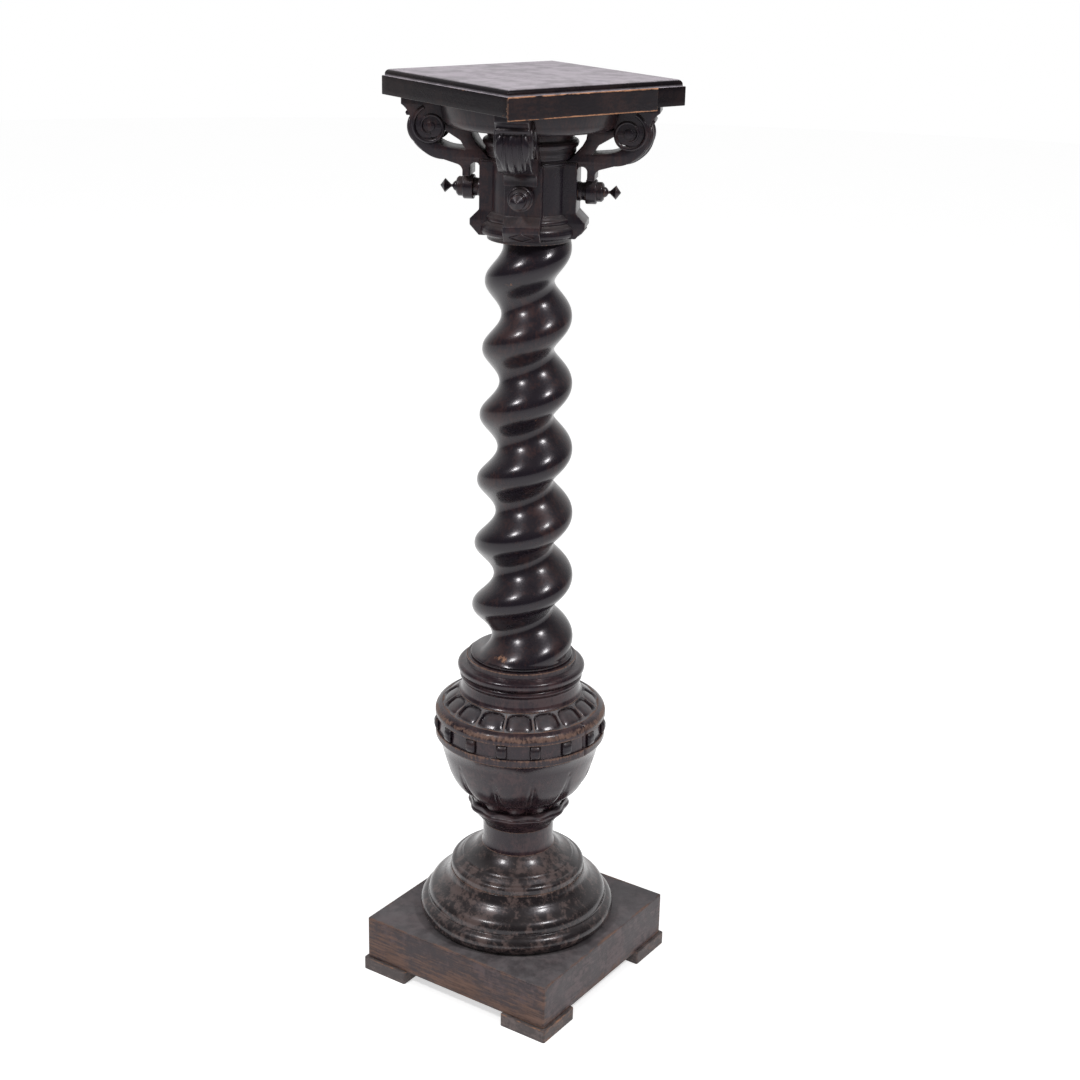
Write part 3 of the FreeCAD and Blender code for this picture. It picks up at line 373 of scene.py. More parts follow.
def level_lathe(steps, level, turn):
    """A turned surface whose axis lies level and points away from the stand's axis.

    The outline holds the distance from the stand's axis and the radius round that line, and
    starts and ends on the line.
    """
    softness = bpy.context.scene.stand_shape.softness
    points = refine(soften(outline(steps), softness * 0.7, False), 1.5 * MM, False)
    bend = convexity(points[::-1], False)[::-1, None]
    theta = np.linspace(0.0, 2 * math.pi, LEVEL_COLUMNS, endpoint=False)[None, :]
    grid = np.stack([points[:, :1] + 0 * theta, points[:, 1:] * np.cos(theta),
                     points[:, 1:] * np.sin(theta) + level * MM], axis=-1)
    return surface(turned(grid, turn), edge=np.clip(bend, 0, 1), hollow=np.clip(-bend, 0, 1))


def square_columns(half, rounding):
    """Plan of a rounded square for each half width, and where its columns stand on corners.

    A column's place is the square's corner, drawn in by the rounding, plus the rounding along
    the arc's direction. Along a side the corner slides to the next one.
    """
    corner, direction, on_corner = [], [], []
    for quarter in range(4):
        start = math.radians(45 + 90 * quarter)
        sign = np.sign([math.cos(start), math.sin(start)])
        following = np.array([-sign[1], sign[0]])
        for number in range(CORNER_PARTS + 1):
            turn = start - math.pi / 4 + math.pi / 2 * number / CORNER_PARTS
            corner.append(sign)
            direction.append((math.cos(turn), math.sin(turn)))
            on_corner.append(math.exp(-(number - CORNER_PARTS / 2) ** 2 / 4))
        for number in range(1, SIDE_PARTS):
            corner.append(sign + (following - sign) * number / SIDE_PARTS)
            direction.append(direction[-1] if number > 1 else (
                round(math.cos(start + math.pi / 4)), round(math.sin(start + math.pi / 4))))
            on_corner.append(0.0)
    draw_in = np.minimum(rounding, half)[:, None, None]
    place = np.array(corner)[None] * (half[:, None, None] - draw_in)
    return place + np.array(direction)[None] * draw_in, np.array(on_corner)[None]


def framed(steps, low, centre=(0.0, 0.0), turn=0.0, rounding=1.5, round_below=0.0, rub=None):
    """A square piece: an outline of half width and height carried round a rounded square.

    Below a half width of round_below the plan is a circle instead, for a hole. rub gives
    more wear for each point of the grid.
    """
    softness = bpy.context.scene.stand_shape.softness
    points = refine(soften(outline(steps), softness, False), 5.0 * MM, False)
    bend = convexity(points, False)[:, None]
    half = points[:, 0]
    curve = np.where(half <= round_below * MM, half, rounding * MM)
    place, on_corner = square_columns(half, curve)
    outer = (half > half.max() - 4 * MM)[:, None]
    height = np.broadcast_to(points[:, 1:] + low * MM, place.shape[:2])
    grid = np.concatenate([place + np.array(centre) * MM, height[..., None]], axis=-1)
    edge = 0.8 * np.maximum(np.clip(bend, 0, 1), outer * on_corner)
    if rub is not None:
        edge = np.maximum(edge, rub(grid))
    hollow = np.clip(-bend, 0, 1)
    return surface(turned(grid, turn), edge=edge, hollow=hollow)


def area_of(points):
    """Twice the signed area inside an outline."""
    following = np.roll(points, -1, axis=0)
    return (points[:, 0] * following[:, 1] - points[:, 1] * following[:, 0]).sum()


def plate(steps, half, level, turn, openings=(), rounding=1.0, aside=0.0, step=2.0):
    """A piece cut from a board: outlines of distance and height, raised to both sides.

    Across the board each outline keeps its place and is drawn in along a quarter circle near
    the two faces, so its edges are rounded. Triangles fill the faces between the outlines.
    """
    softness = bpy.context.scene.stand_shape.softness
    arc = np.linspace(0.0, math.pi / 2, 4)
    near_side = rounding * (1 - np.cos(arc)) - half
    near_drawn = rounding * (1 - np.sin(arc))
    across = np.concatenate([near_side, -near_side[::-1]]) * MM
    drawn = np.concatenate([near_drawn, near_drawn[::-1]]) * MM
    wear = np.array([0.0, 0.8, 0.8, 0.0, 0.0, 0.8, 0.8, 0.0])[:, None]
    off_face = np.array([0.0, 1.0, 1.0, 1.0, 1.0, 1.0, 1.0, 0.0])[:, None]
    points, quads, edge, hollow, rims, start = [], [], [], [], [], 0
    for number, loop in enumerate((steps,) + tuple(openings)):
        line = outline(loop, True)
        line = line if (area_of(line) > 0) == (number == 0) else line[::-1]
        line = refine(soften(line, softness, True), step * MM, True)
        bend = convexity(line, True)
        run = np.roll(line, -1, axis=0) - np.roll(line, 1, axis=0)
        out = np.stack([run[:, 1], -run[:, 0]], axis=1)
        out /= np.linalg.norm(out, axis=1)[:, None]
        count = len(line)
        flat = line[None] - out[None] * drawn[:, None, None]
        side = np.broadcast_to(across[:, None], flat.shape[:2]) + aside * MM
        grid = np.stack([flat[..., 0], side, flat[..., 1] + level * MM], axis=-1)
        index = np.arange(len(across) * count).reshape(len(across), count) + start
        low, high = index[:-1], index[1:]
        ring = np.stack([low, high, np.roll(high, -1, 1), np.roll(low, -1, 1)], -1).reshape(-1, 4)
        points.append(grid.reshape(-1, 3))
        quads.append(ring)
        edge.append(np.maximum(wear, np.clip(bend, 0, 1)[None, :] * off_face))
        hollow.append(np.clip(-bend, 0, 1)[None, :] * off_face)
        rims.append((index[0], index[-1], flat[0]))
        start += index.size
    faces = tessellate_polygon([[Vector((x, y, 0.0)) for x, y in rim[2]] for rim in rims])
    faces = np.array(faces)
    flat = np.concatenate([rim[2] for rim in rims])
    a, b, c = flat[faces[:, 0]], flat[faces[:, 1]], flat[faces[:, 2]]
    sign = (b[:, 0] - a[:, 0]) * (c[:, 1] - a[:, 1]) - (b[:, 1] - a[:, 1]) * (c[:, 0] - a[:, 0])
    faces = np.where((sign > 0)[:, None], faces, faces[:, ::-1])
    near = np.concatenate([rim[0] for rim in rims])[faces]
    far = np.concatenate([rim[1] for rim in rims])[faces[:, ::-1]]
    points = np.concatenate(points)
    quads = np.concatenate(quads)
    corner = points[quads]
    normal = np.cross(corner[:, 2] - corner[:, 0], corner[:, 3] - corner[:, 1])
    triangles = np.concatenate([near, far])
    corner_t = points[triangles]
    normal_t = np.cross(corner_t[:, 1] - corner_t[:, 0], corner_t[:, 2] - corner_t[:, 0])
    volume = (normal * corner.mean(axis=1)).sum() + (normal_t * corner_t.mean(axis=1)).sum()
    if volume < 0:
        quads = quads[:, ::-1]
        triangles = triangles[:, ::-1]
    edge = np.concatenate([part.reshape(-1) for part in edge])
    hollow = np.concatenate([part.reshape(-1) for part in hollow])
    return Shell(turned(points, turn), quads, triangles, edge, hollow)


def ridge(path, out, half_width, lift, sink, turn, level, parts=12):
    """A raised form along a path: each row is an arch across the path over a sunk floor.

    path holds the distance from the axis, the place across and the height; out the direction
    in which the form rises. Round each row the place across is half_width times the cosine,
    and the height above the path is lift times the sine, or minus sink on the lower half.
    """
    along = np.gradient(path, axis=0)
    cross = np.cross(along, out)
    cross /= np.linalg.norm(cross, axis=1)[:, None]
    theta = np.linspace(0.0, 2 * math.pi, parts * 2, endpoint=False)[None, :]
    rise = np.where(np.sin(theta) > 0, lift[:, None] * np.sin(theta), sink * np.sin(theta))
    width = half_width[:, None] * np.cos(theta)
    grid = (path[:, None, :] + cross[:, None, :] * width[..., None]
            + out[:, None, :] * rise[..., None])
    grid[..., 2] += level * MM
    edge = np.clip(np.sin(theta), 0, 1) ** 3 * 0.8
    hollow = np.where(np.abs(np.sin(theta)) < 0.3, 0.8, 0.0)
    return surface(turned(grid, turn), capped=True, edge=edge, hollow=hollow)


# ---------------------------------------------------------------- finishes

# The levels at which wear starts and is whole, the tint of the gloss, the coat's roughness, the
# height of the grain and the darkness of the streaks in bare wood.
WEAR_STARTS = 0.92
WEAR_WHOLE = 1.18
GLOSS_TINT = (1.0, 0.93, 1.0, 1.0)
COAT_ROUGHNESS = 0.16
GRAIN_HEIGHT = 0.4 * MM
BARE_STREAK = 0.55

# Noise patterns: scale, detail and roughness. The streaks' scale comes from the finish.
WEAR_BROAD = (22.0, 4.0, 0.6)
WEAR_FINE = (210.0, 5.0, 0.7)
DUST_AND_SHEEN_CLOUD = (38.0, 6.0, 0.7)
STREAK = (5.0, 0.65)
CLOUD = (14.0, 5.0, 0.65)
SPECK = (420.0, 3.0, 0.6)
PATCH = (75.0, 5.0, 0.7)
STEEL_MARKS = (900.0, 4.0, 0.7)


def fill(tree, node, values):
    """Link each named input of a node to a socket, or set its value."""
    for key, value in values.items():
        if isinstance(value, bpy.types.NodeSocket):
            tree.links.new(value, node.inputs[key])
        else:
            node.inputs[key].default_value = value


def add_node(tree, kind, links=None, **values):
    """Add a node, set its settings, and link or set its inputs."""
    node = tree.nodes.new(kind)
    for key, value in values.items():
        setattr(node, key, value)
    fill(tree, node, links or {})
    return node


def sum_up(tree, operation, *values):
    """The result of a Math node on two or three values."""
    node = add_node(tree, "ShaderNodeMath", dict(enumerate(values)), operation=operation)
    return node.outputs[0]


def add_up(tree, start, *terms):
    """A start plus the sum of value times weight over all terms."""
    for value, weight in terms:
        start = sum_up(tree, "MULTIPLY_ADD", value, weight, start)
    return start


def spread(tree, value, low, high, to_low=0.0, to_high=1.0):
    """A value moved smoothly from one range to another."""
    node = add_node(tree, "ShaderNodeMapRange", {
        "Value": value, "From Min": low, "From Max": high, "To Min": to_low, "To Max": to_high},
        interpolation_type="SMOOTHSTEP")
    return node.outputs[0]


def noise(tree, position, scale, detail, roughness):
    """The value of a noise texture at a position."""
    node = add_node(tree, "ShaderNodeTexNoise", {
        "Vector": position, "Scale": scale, "Detail": detail, "Roughness": roughness})
    return node.outputs["Fac"]


def blend(tree, factor, first, second):
    """A mix of two colours."""
    node = add_node(tree, "ShaderNodeMix", {0: factor, 6: first, 7: second}, data_type="RGBA")
    return node.outputs[2]


def once(store, name, build):
    """The material or node group of a name, built the first time it is asked for."""
    return store[name] if name in store else build(name)


def new_material(name):
    """A new material, its node tree, its shader and the place on the object."""
    material = bpy.data.materials.new(name)
    material.use_nodes = True
    tree = material.node_tree
    position = tree.nodes.new("ShaderNodeTexCoord").outputs["Object"]
    return material, tree, tree.nodes["Principled BSDF"], position


def new_group(name, inputs, outputs):
    """An empty node group with named float or vector inputs and float outputs."""
    group = bpy.data.node_groups.new(name, "ShaderNodeTree")
    for label, kind, default in inputs:
        socket = group.interface.new_socket(label, in_out="INPUT", socket_type=kind)
        if default is not None:
            socket.default_value = default
    for label in outputs:
        group.interface.new_socket(label, in_out="OUTPUT", socket_type="NodeSocketFloat")
    return group, group.nodes.new("NodeGroupInput"), group.nodes.new("NodeGroupOutput")


def wear_group(name):
    """Where wood is worn bare: on bent edges, broken up by noise at two sizes.

    The edge times a weighted sum of broad noise, fine noise and the grain's streaks, plus the
    amount, is spread between the level where wear starts and the one where it is whole.
    """
    group, given, result = new_group(name, (
        ("Position", "NodeSocketVector", None), ("Edge", "NodeSocketFloat", 0.0),
        ("Streak", "NodeSocketFloat", 0.5), ("Amount", "NodeSocketFloat", 0.5)), ("Mask",))
    broad = noise(group, given.outputs["Position"], *WEAR_BROAD)
    fine = noise(group, given.outputs["Position"], *WEAR_FINE)
    rough = add_up(group, -0.05, (broad, 0.7), (fine, 0.55), (given.outputs["Streak"], 0.3))
    level = sum_up(group, "MULTIPLY", given.outputs["Edge"], rough)
    level = sum_up(group, "ADD", level, given.outputs["Amount"])
    group.links.new(spread(group, level, WEAR_STARTS, WEAR_WHOLE), result.inputs["Mask"])
    return group


def dust_and_sheen_group(name):
    """Where dust lies on faces that look up and in hollows, in soft clouds; on the board the same
    mask paints a lilac sheen on the level top in place of a reflection.

    How far a face looks up, from a level on, plus a share of the hollow is multiplied by the
    noise of the clouds and by the amount.
    """
    group, given, result = new_group(name, (
        ("Position", "NodeSocketVector", None), ("Hollow", "NodeSocketFloat", 0.0),
        ("Amount", "NodeSocketFloat", 0.5), ("Level from", "NodeSocketFloat", 0.15)), ("Mask",))
    facing = add_node(group, "ShaderNodeSeparateXYZ", {
        "Vector": group.nodes.new("ShaderNodeNewGeometry").outputs["Normal"]}).outputs["Z"]
    upward = spread(group, facing, given.outputs["Level from"], 1.0)
    dust_and_sheen_level = add_up(group, upward, (given.outputs["Hollow"], 0.45))
    cloud = noise(group, given.outputs["Position"], *DUST_AND_SHEEN_CLOUD)
    cloud = spread(group, cloud, 0.25, 0.75, 0.35, 1.0)
    level = sum_up(group, "MULTIPLY", dust_and_sheen_level, cloud)
    level = sum_up(group, "MULTIPLY", level, given.outputs["Amount"])
    group.links.new(sum_up(group, "MINIMUM", level, 1.0), result.inputs["Mask"])
    return group


def grain_group(name):
    """Wood grain: streaks from noise drawn out along the grain, with clouds, specks, patches.

    Each is the value of one noise, spread between two levels. For the streaks the place is
    first multiplied by the squeeze, which is small along the grain.
    """
    group, given, result = new_group(name, (
        ("Position", "NodeSocketVector", None), ("Squeeze", "NodeSocketVector", (1.0, 1.0, 1.0)),
        ("Scale", "NodeSocketFloat", 300.0)), ("Streak", "Cloud", "Speck", "Patch"))
    drawn = add_node(group, "ShaderNodeVectorMath", {
        0: given.outputs["Position"], 1: given.outputs["Squeeze"]}, operation="MULTIPLY").outputs[0]
    masks = (("Streak", drawn, (given.outputs["Scale"], *STREAK), 0.3, 0.7),
             ("Cloud", given.outputs["Position"], CLOUD, 0.3, 0.7),
             ("Speck", given.outputs["Position"], SPECK, 0.35, 0.75),
             ("Patch", given.outputs["Position"], PATCH, 0.38, 0.64))
    for label, place, pattern, low, high in masks:
        mask = spread(group, noise(group, place, *pattern), low, high)
        group.links.new(mask, result.inputs[label])
    return group


# A finish: the settings that hold its dark and second colours, the film of dust on it and its
# bare wood, where on the board the film is a painted lilac sheen that stands for a reflection;
# how much wear and dust it has, on the board how much painted sheen; how much rougher it is
# than the gloss setting, its specular level and its coat; how its grain is squeezed along each
# axis, its scale and its bump; how far the second colour comes through, evenly and in patches;
# and how level a face must be to hold dust, on the board to take the painted sheen.
Finish = namedtuple(
    "Finish", "colours wear dust rougher shine coat squeeze scale relief mottle patch level_from",
    defaults=(0.15,))

WOODS = {
    # The blackened and polished wood of the column.
    "ebonised_polish": Finish(
        ("ebony", "umber", "dust", "bare"), wear=0.30, dust=0.10, rougher=0.0, shine=0.24,
        coat=0.35, squeeze=(1.0, 1.0, 0.12), scale=260.0, relief=0.15, mottle=0.6, patch=0.5),
    # The same wood where it is carved, with dust on its ledges.
    "ebonised_dusty": Finish(
        ("ebony", "umber", "dust", "rubbed"), wear=0.26, dust=0.55, rougher=0.04, shine=0.25,
        coat=0.2, squeeze=(1.0, 1.0, 0.2), scale=280.0, relief=0.3, mottle=0.6, patch=0.4),
    # The glossy black wood of the shoulder's lobes, with pale dusty ribs.
    "shoulder_gloss": Finish(
        ("ebony", "umber", "film", "rubbed"), wear=0.44, dust=0.8, rougher=-0.04, shine=0.35,
        coat=0.5, squeeze=(1.0, 1.0, 0.2), scale=280.0, relief=0.2, mottle=0.6, patch=0.4),
    # The duller purple-brown wood of the urn, with more wear on its rim.
    "urn_satin": Finish(
        ("urn_dark", "urn_brown", "dust", "rubbed"), wear=0.46, dust=0.12, rougher=0.0, shine=0.28,
        coat=0.3, squeeze=(1.0, 1.0, 0.2), scale=300.0, relief=0.2, mottle=0.7, patch=0.6),
    # The dusty grey-brown wood of the stepped round base.
    "base_dusty": Finish(
        ("base_dark", "base_brown", "dust", "rubbed"), wear=0.46, dust=0.22, rougher=0.0,
        shine=0.32, coat=0.4, squeeze=(1.0, 1.0, 0.6), scale=240.0, relief=0.2, mottle=0.85,
        patch=1.0),
    # The worn red-brown wood of the square foot, its grain level.
    "plinth_worn": Finish(
        ("plinth_dark", "plinth_brown", "film", "rubbed"), wear=0.50, dust=0.75, rougher=0.18,
        shine=0.35, coat=0.1, squeeze=(0.10, 0.10, 1.0), scale=330.0, relief=0.5, mottle=0.9,
        patch=0.8),
    # The grey-brown wood of the corner pads.
    "pad_bare": Finish(
        ("pad_dark", "pad_brown", "dust", "bare"), wear=0.40, dust=0.4, rougher=0.28, shine=0.35,
        coat=0.05, squeeze=(0.15, 0.15, 1.0), scale=330.0, relief=0.5, mottle=0.9, patch=0.6),
    # The board's black polish with worn edges, and a painted lilac sheen on its level top that
    # stands for the pale room's reflection; its dust amount lays that sheen.
    "board_satin": Finish(
        ("board_dark", "board_brown", "board_sheen", "bare"), wear=0.30, dust=1.2, rougher=0.0,
        shine=0.15, coat=0.1, squeeze=(0.10, 1.0, 1.0), scale=300.0, relief=0.15, mottle=0.4,
        patch=0.3, level_from=0.75),
    # The edge strip: the board's polish, worn through along its edges.
    "strip_worn": Finish(
        ("strip_dark", "strip_brown", "dust", "strip_bare"), wear=0.46, dust=0.1, rougher=0.05,
        shine=0.28, coat=0.2, squeeze=(1.0, 0.10, 1.0), scale=300.0, relief=0.2, mottle=0.6,
        patch=0.3),
}


def build_wood(name):
    """A material for one finish of wood.

    The dark goes to the second colour by a weighted sum of cloud, streak, speck and patch, to
    the film colour where the dust mask lies and to bare wood where edges are worn; on the board
    that film is a painted lilac sheen on the level top, standing for a reflection. Worn and
    dusty places, and the board's painted sheen, are duller and have no coat, and the streaks and
    specks stand in the bump.
    """
    finish = WOODS[name]
    settings = bpy.context.scene.stand_wood
    dark, second, film, bare = ((*getattr(settings, label), 1.0) for label in finish.colours)
    material, tree, shader, position = new_material(name)
    edge = add_node(tree, "ShaderNodeAttribute", attribute_name=EDGE).outputs["Fac"]
    hollow = add_node(tree, "ShaderNodeAttribute", attribute_name=HOLLOW).outputs["Fac"]
    groups = bpy.data.node_groups
    grain = add_node(tree, "ShaderNodeGroup", {
        "Position": position, "Squeeze": finish.squeeze, "Scale": finish.scale},
        node_tree=once(groups, "Wood grain", grain_group)).outputs
    cloud, streak, speck = grain["Cloud"], grain["Streak"], grain["Speck"]
    worn = add_node(tree, "ShaderNodeGroup", {
        "Position": position, "Edge": edge, "Streak": streak, "Amount": finish.wear},
        node_tree=once(groups, "Worn edges", wear_group)).outputs["Mask"]
    dust_and_sheen = add_node(tree, "ShaderNodeGroup", {
        "Position": position, "Hollow": hollow, "Amount": finish.dust,
        "Level from": finish.level_from},
        node_tree=once(groups, "Settled dust and sheen", dust_and_sheen_group)).outputs["Mask"]

    uneven = sum_up(tree, "SUBTRACT", grain["Patch"], 0.4)
    shade = add_up(tree, 0.0, (cloud, 0.5), (streak, 0.3), (speck, 0.3 - 0.2 * finish.patch),
                   (uneven, 0.55 * finish.patch))
    shade = spread(tree, shade, 0.35, 0.85, 0.0, finish.mottle)
    # Painted sheen: on the board the film colour laid here by the dust mask is a painted lilac
    # sheen on the level top.
    tone = blend(tree, dust_and_sheen, blend(tree, shade, dark, second), film)
    darker = (*(BARE_STREAK * part for part in bare[:3]), 1.0)
    tone = blend(tree, worn, tone, blend(tree, streak, darker, bare))
    dull = add_up(tree, settings.gloss + finish.rougher, (cloud, 0.12), (dust_and_sheen, 0.35),
                  (worn, 0.25))
    clean = sum_up(tree, "SUBTRACT", sum_up(tree, "SUBTRACT", 1.0, dust_and_sheen), worn)
    coat = sum_up(tree, "MULTIPLY", sum_up(tree, "MAXIMUM", clean, 0.0), finish.coat)
    height = add_up(tree, 0.0, (streak, 0.6), (speck, 0.3), (worn, -0.5))
    bump = add_node(tree, "ShaderNodeBump", {
        "Strength": finish.relief, "Distance": GRAIN_HEIGHT, "Height": height})
    fill(tree, shader, {
        "Base Color": tone, "Roughness": sum_up(tree, "MINIMUM", dull, 0.9),
        "Specular IOR Level": finish.shine, "Specular Tint": GLOSS_TINT, "Coat Weight": coat,
        "Coat Roughness": COAT_ROUGHNESS, "Normal": bump.outputs["Normal"]})
    return material


def build_steel(name):
    """Dull steel, its colour and roughness spread between two levels by fine noise."""
    material, tree, shader, position = new_material(name)
    marks = noise(tree, position, *STEEL_MARKS)
    fill(tree, shader, {
        "Metallic": 1.0, "Roughness": spread(tree, marks, 0.2, 0.8, 0.3, 0.55),
        "Base Color": blend(tree, marks, (0.30, 0.28, 0.26, 1.0), (0.52, 0.50, 0.48, 1.0))})
    return material


# ---------------------------------------------------------------- pieces

# Sizes of the plinth, the twist and the volutes in millimetres, and counts.
PLINTH_HEIGHT = 59.1
PLINTH_HALF = 141.5
TWIST_FOOT = 5.9
TWIST_HEAD = 531.7
VOLUTE_OUT = 115.0
VOLUTE_LEVEL = -32.0
EYE_RADIUS = 5.5
EYE_STEPS = 24
STUD_COUNT = 16

def shape():
    """The scene's shape settings."""
    return bpy.context.scene.stand_shape


def column_turn():
    """Degrees that the column stands turned against the foot."""
    return math.degrees(shape().rest_turn)


def rub_plinth(grid):
    """Wear on the plinth's faces: most on the left one, and towards the floor.

    On the left face it grows with the share of the height left to the top, on the right one
    with its square, and the largest of all faces' values holds.
    """
    x, y, z = grid[..., 0], grid[..., 1], grid[..., 2]
    upright = (z > 18.5 * MM) & (z < 75.5 * MM)
    low = np.clip((RING_LOW * MM - z) / (PLINTH_HEIGHT * MM), 0, 1)
    left = (y < -141 * MM) * (0.58 + 0.32 * low)
    right = (x > 141 * MM) * (0.30 + 0.42 * low ** 2)
    arris = 0.8 * np.clip((np.minimum(np.abs(x), np.abs(y)) - 133 * MM) / (7 * MM), 0, 1)
    top = (z > 76.4 * MM) * 0.40
    return np.maximum(np.maximum(np.maximum(left, right), arris) * upright, top)


def rub_pad(grid):
    """Wear on the pads' right sides, by a step in the distance from the outermost point."""
    return (grid[..., 0] > grid[..., 0].max() - 1 * MM) * 0.7


def make_foot():
    """The four pads, each round its countersunk screw hole, and the square plinth."""
    places = ((111.5, -111.5), (111.5, 111.5), (-111.5, 111.5), (-111.5, -111.5))
    steps = ((0, 14.6), (2.5, 14.6), (2.5, 3.4), (4.9, 1.0), (4.9, 0), (34, 0), (34, 17.6),
             (0, 17.6))
    for number, centre in enumerate(places, start=1):
        pad = framed(steps, 0.0, centre, rounding=2.5, round_below=5.5, rub=rub_pad)
        add_piece("pad_block_%d" % number, [pad], "pad_bare", BASE, ["foot_pad_%d" % number])
    steps = ((0, 0), (PLINTH_HALF, 0), (PLINTH_HALF, PLINTH_HEIGHT), (0, PLINTH_HEIGHT))
    plinth = framed(steps, PLINTH_LOW, rounding=2.0, rub=rub_plinth)
    add_piece("plinth_block", [plinth], "plinth_worn", BASE, ["plinth"])


def make_base():
    """The turned base ring, the tier above it and the flared stem."""
    ring = ((20.1, 0), (118.5, 0), (118.5, 25.6, 0.39), (117.6, 27.6), (109.5, 42.3, 0.15),
            (97.5, 51.2, -0.04), (90.5, 61.5, -0.08), (88.5, 66.3), (20.1, 66.3))
    add_piece("base_ring_turned", [lathe(ring, RING_LOW, True, 256)], "base_dusty", BASE,
              ["base_ring"])
    tier = ((20.1, 0), (88, 0), (88, 5), (81.4, 12, 0.2), (75, 17.2), (73.4, 17.9), (72, 19.6),
            (54, 31.5, -0.07), (48.4, 36), (20.1, 36))
    add_piece("base_tier_turned", [lathe(tier, TIER_LOW, True, 256)], "base_dusty", BASE,
              ["base_tier"])
    stem = ((0, -152.3), (20, -152.3), (20, 0), (48.4, 0), (45.9, 9, -0.06), (46.4, 26),
            (47, 34), (20, 34), (20, 106), (0, 106))
    add_piece("stem_turned", [lathe(stem, STEM_LOW)], "urn_satin", BASE, ["pedestal_stem"])


def repeat_angle(theta, count, start):
    """The angle from the nearest of count evenly spread directions, the first at start."""
    pitch = 2 * math.pi / count
    return (theta - start + pitch / 2) % pitch - pitch / 2


def bell(value, middle, width):
    """A bell-shaped rise of one round a middle."""
    return np.exp(-((value - middle) / width) ** 2)


def carve_petals(radius, height, theta):
    """Petals on the bowl: veins that narrow upwards between them, and a scoop at each foot.

    A vein's half width and depth shrink in proportion to the height left up to its tip, and
    its section is a bell with a narrow tongue standing in it. A scoop is a bell in height and
    angle, at the foot of each petal's middle. The ring under the petals swells by a cosine of
    the angle into one knob for each petal.
    """
    count = shape().petal_count
    aside = radius * repeat_angle(theta, count, math.pi / count)
    middle = radius * repeat_angle(theta, count, 0.0)
    left = np.clip((105 * MM - height) / (71 * MM), 0, 1) * (height > 33 * MM)
    width = 1.2 * MM + 9.0 * MM * left ** 1.3
    vein = left ** 0.8 * np.exp(-(aside / width) ** 2)
    scoop = np.exp(-((height - 45 * MM) / (7 * MM)) ** 2 - (middle / (9 * MM)) ** 2)
    tongue = left ** 0.5 * np.exp(-(aside / (1.7 * MM)) ** 2) * (height < 98 * MM)
    cut = shape().petal_depth * vein + 4.6 * MM * scoop - 3.6 * MM * tongue
    outer = radius > 50 * MM
    lip = np.exp(-((np.abs(aside) - 1.5 * width) / (2.2 * MM)) ** 2) * np.clip(left * 3, 0, 1)
    knob = np.cos(count * theta) * bell(height, 25 * MM, 7 * MM)
    cut = cut - 1.2 * MM * knob
    wear = np.maximum(0.6 * lip, 0.75 * tongue)
    # Painted shade: the veins and scoops get a hollow below nothing, which keeps the dust film out
    # and raises the coat, so they are painted darker and glossier than the carving alone makes
    # them.
    return radius - cut * outer, height, wear * outer, -np.clip(vein + scoop, 0, 1) * outer


def carve_lobes(radius, height, theta):
    """Plump lobes in the shoulder, each sunk in a frame, with ribs between the frames.

    One less the shares of the way out to the rib and to the slope's ends, each to a power,
    gives how far a point lies inside a frame. The frame is as deep as the lobes are high, and
    the root of that share gives back what the lobe stands up in it.
    """
    s = shape()
    slope_r, slope_z = 22.0 * MM, 16.4 * MM
    slant = math.hypot(slope_r, slope_z)
    along = ((radius - 90 * MM) * slope_r - (height - 8.2 * MM) * slope_z) / slant
    side = repeat_angle(theta, s.lobe_count, math.pi / s.lobe_count)
    reach = math.pi / s.lobe_count * 0.92
    on_slope = (radius > 76 * MM) & (height > -0.1 * MM)
    inside = 1 - np.abs(side / reach) ** 3.2 - np.abs(along / (13.4 * MM)) ** 3.2
    plump = np.sqrt(np.clip(inside, 0, 1))
    frame_cut = np.clip(inside * 9, 0, 1) * on_slope
    depth = s.lobe_height * frame_cut * (1.15 - plump)
    rib = bell(np.abs(side), math.pi / s.lobe_count, 0.09 * reach) * on_slope
    lower = np.maximum(height - depth * slope_r / slant, np.minimum(height, 0.6 * MM))
    dust_and_sheen = np.where(frame_cut > 0.3, -1.0, 1.2 * on_slope)
    return radius - depth * slope_z / slant, lower, 0.95 * rib, dust_and_sheen


def crack_band(radius, height, theta):
    """Wear along the band's rim and lower fillet, and one upright crack, a narrow bell."""
    wear = 0.95 * bell(height, 37 * MM, 6 * MM) + 0.7 * bell(height, 5 * MM, 5 * MM)
    crack = bell(repeat_angle(theta, 1, math.radians(-6.4)), 0.0, 0.013) * (radius > 100 * MM)
    return radius - 2.2 * MM * crack, height, wear * (radius > 100 * MM), -crack


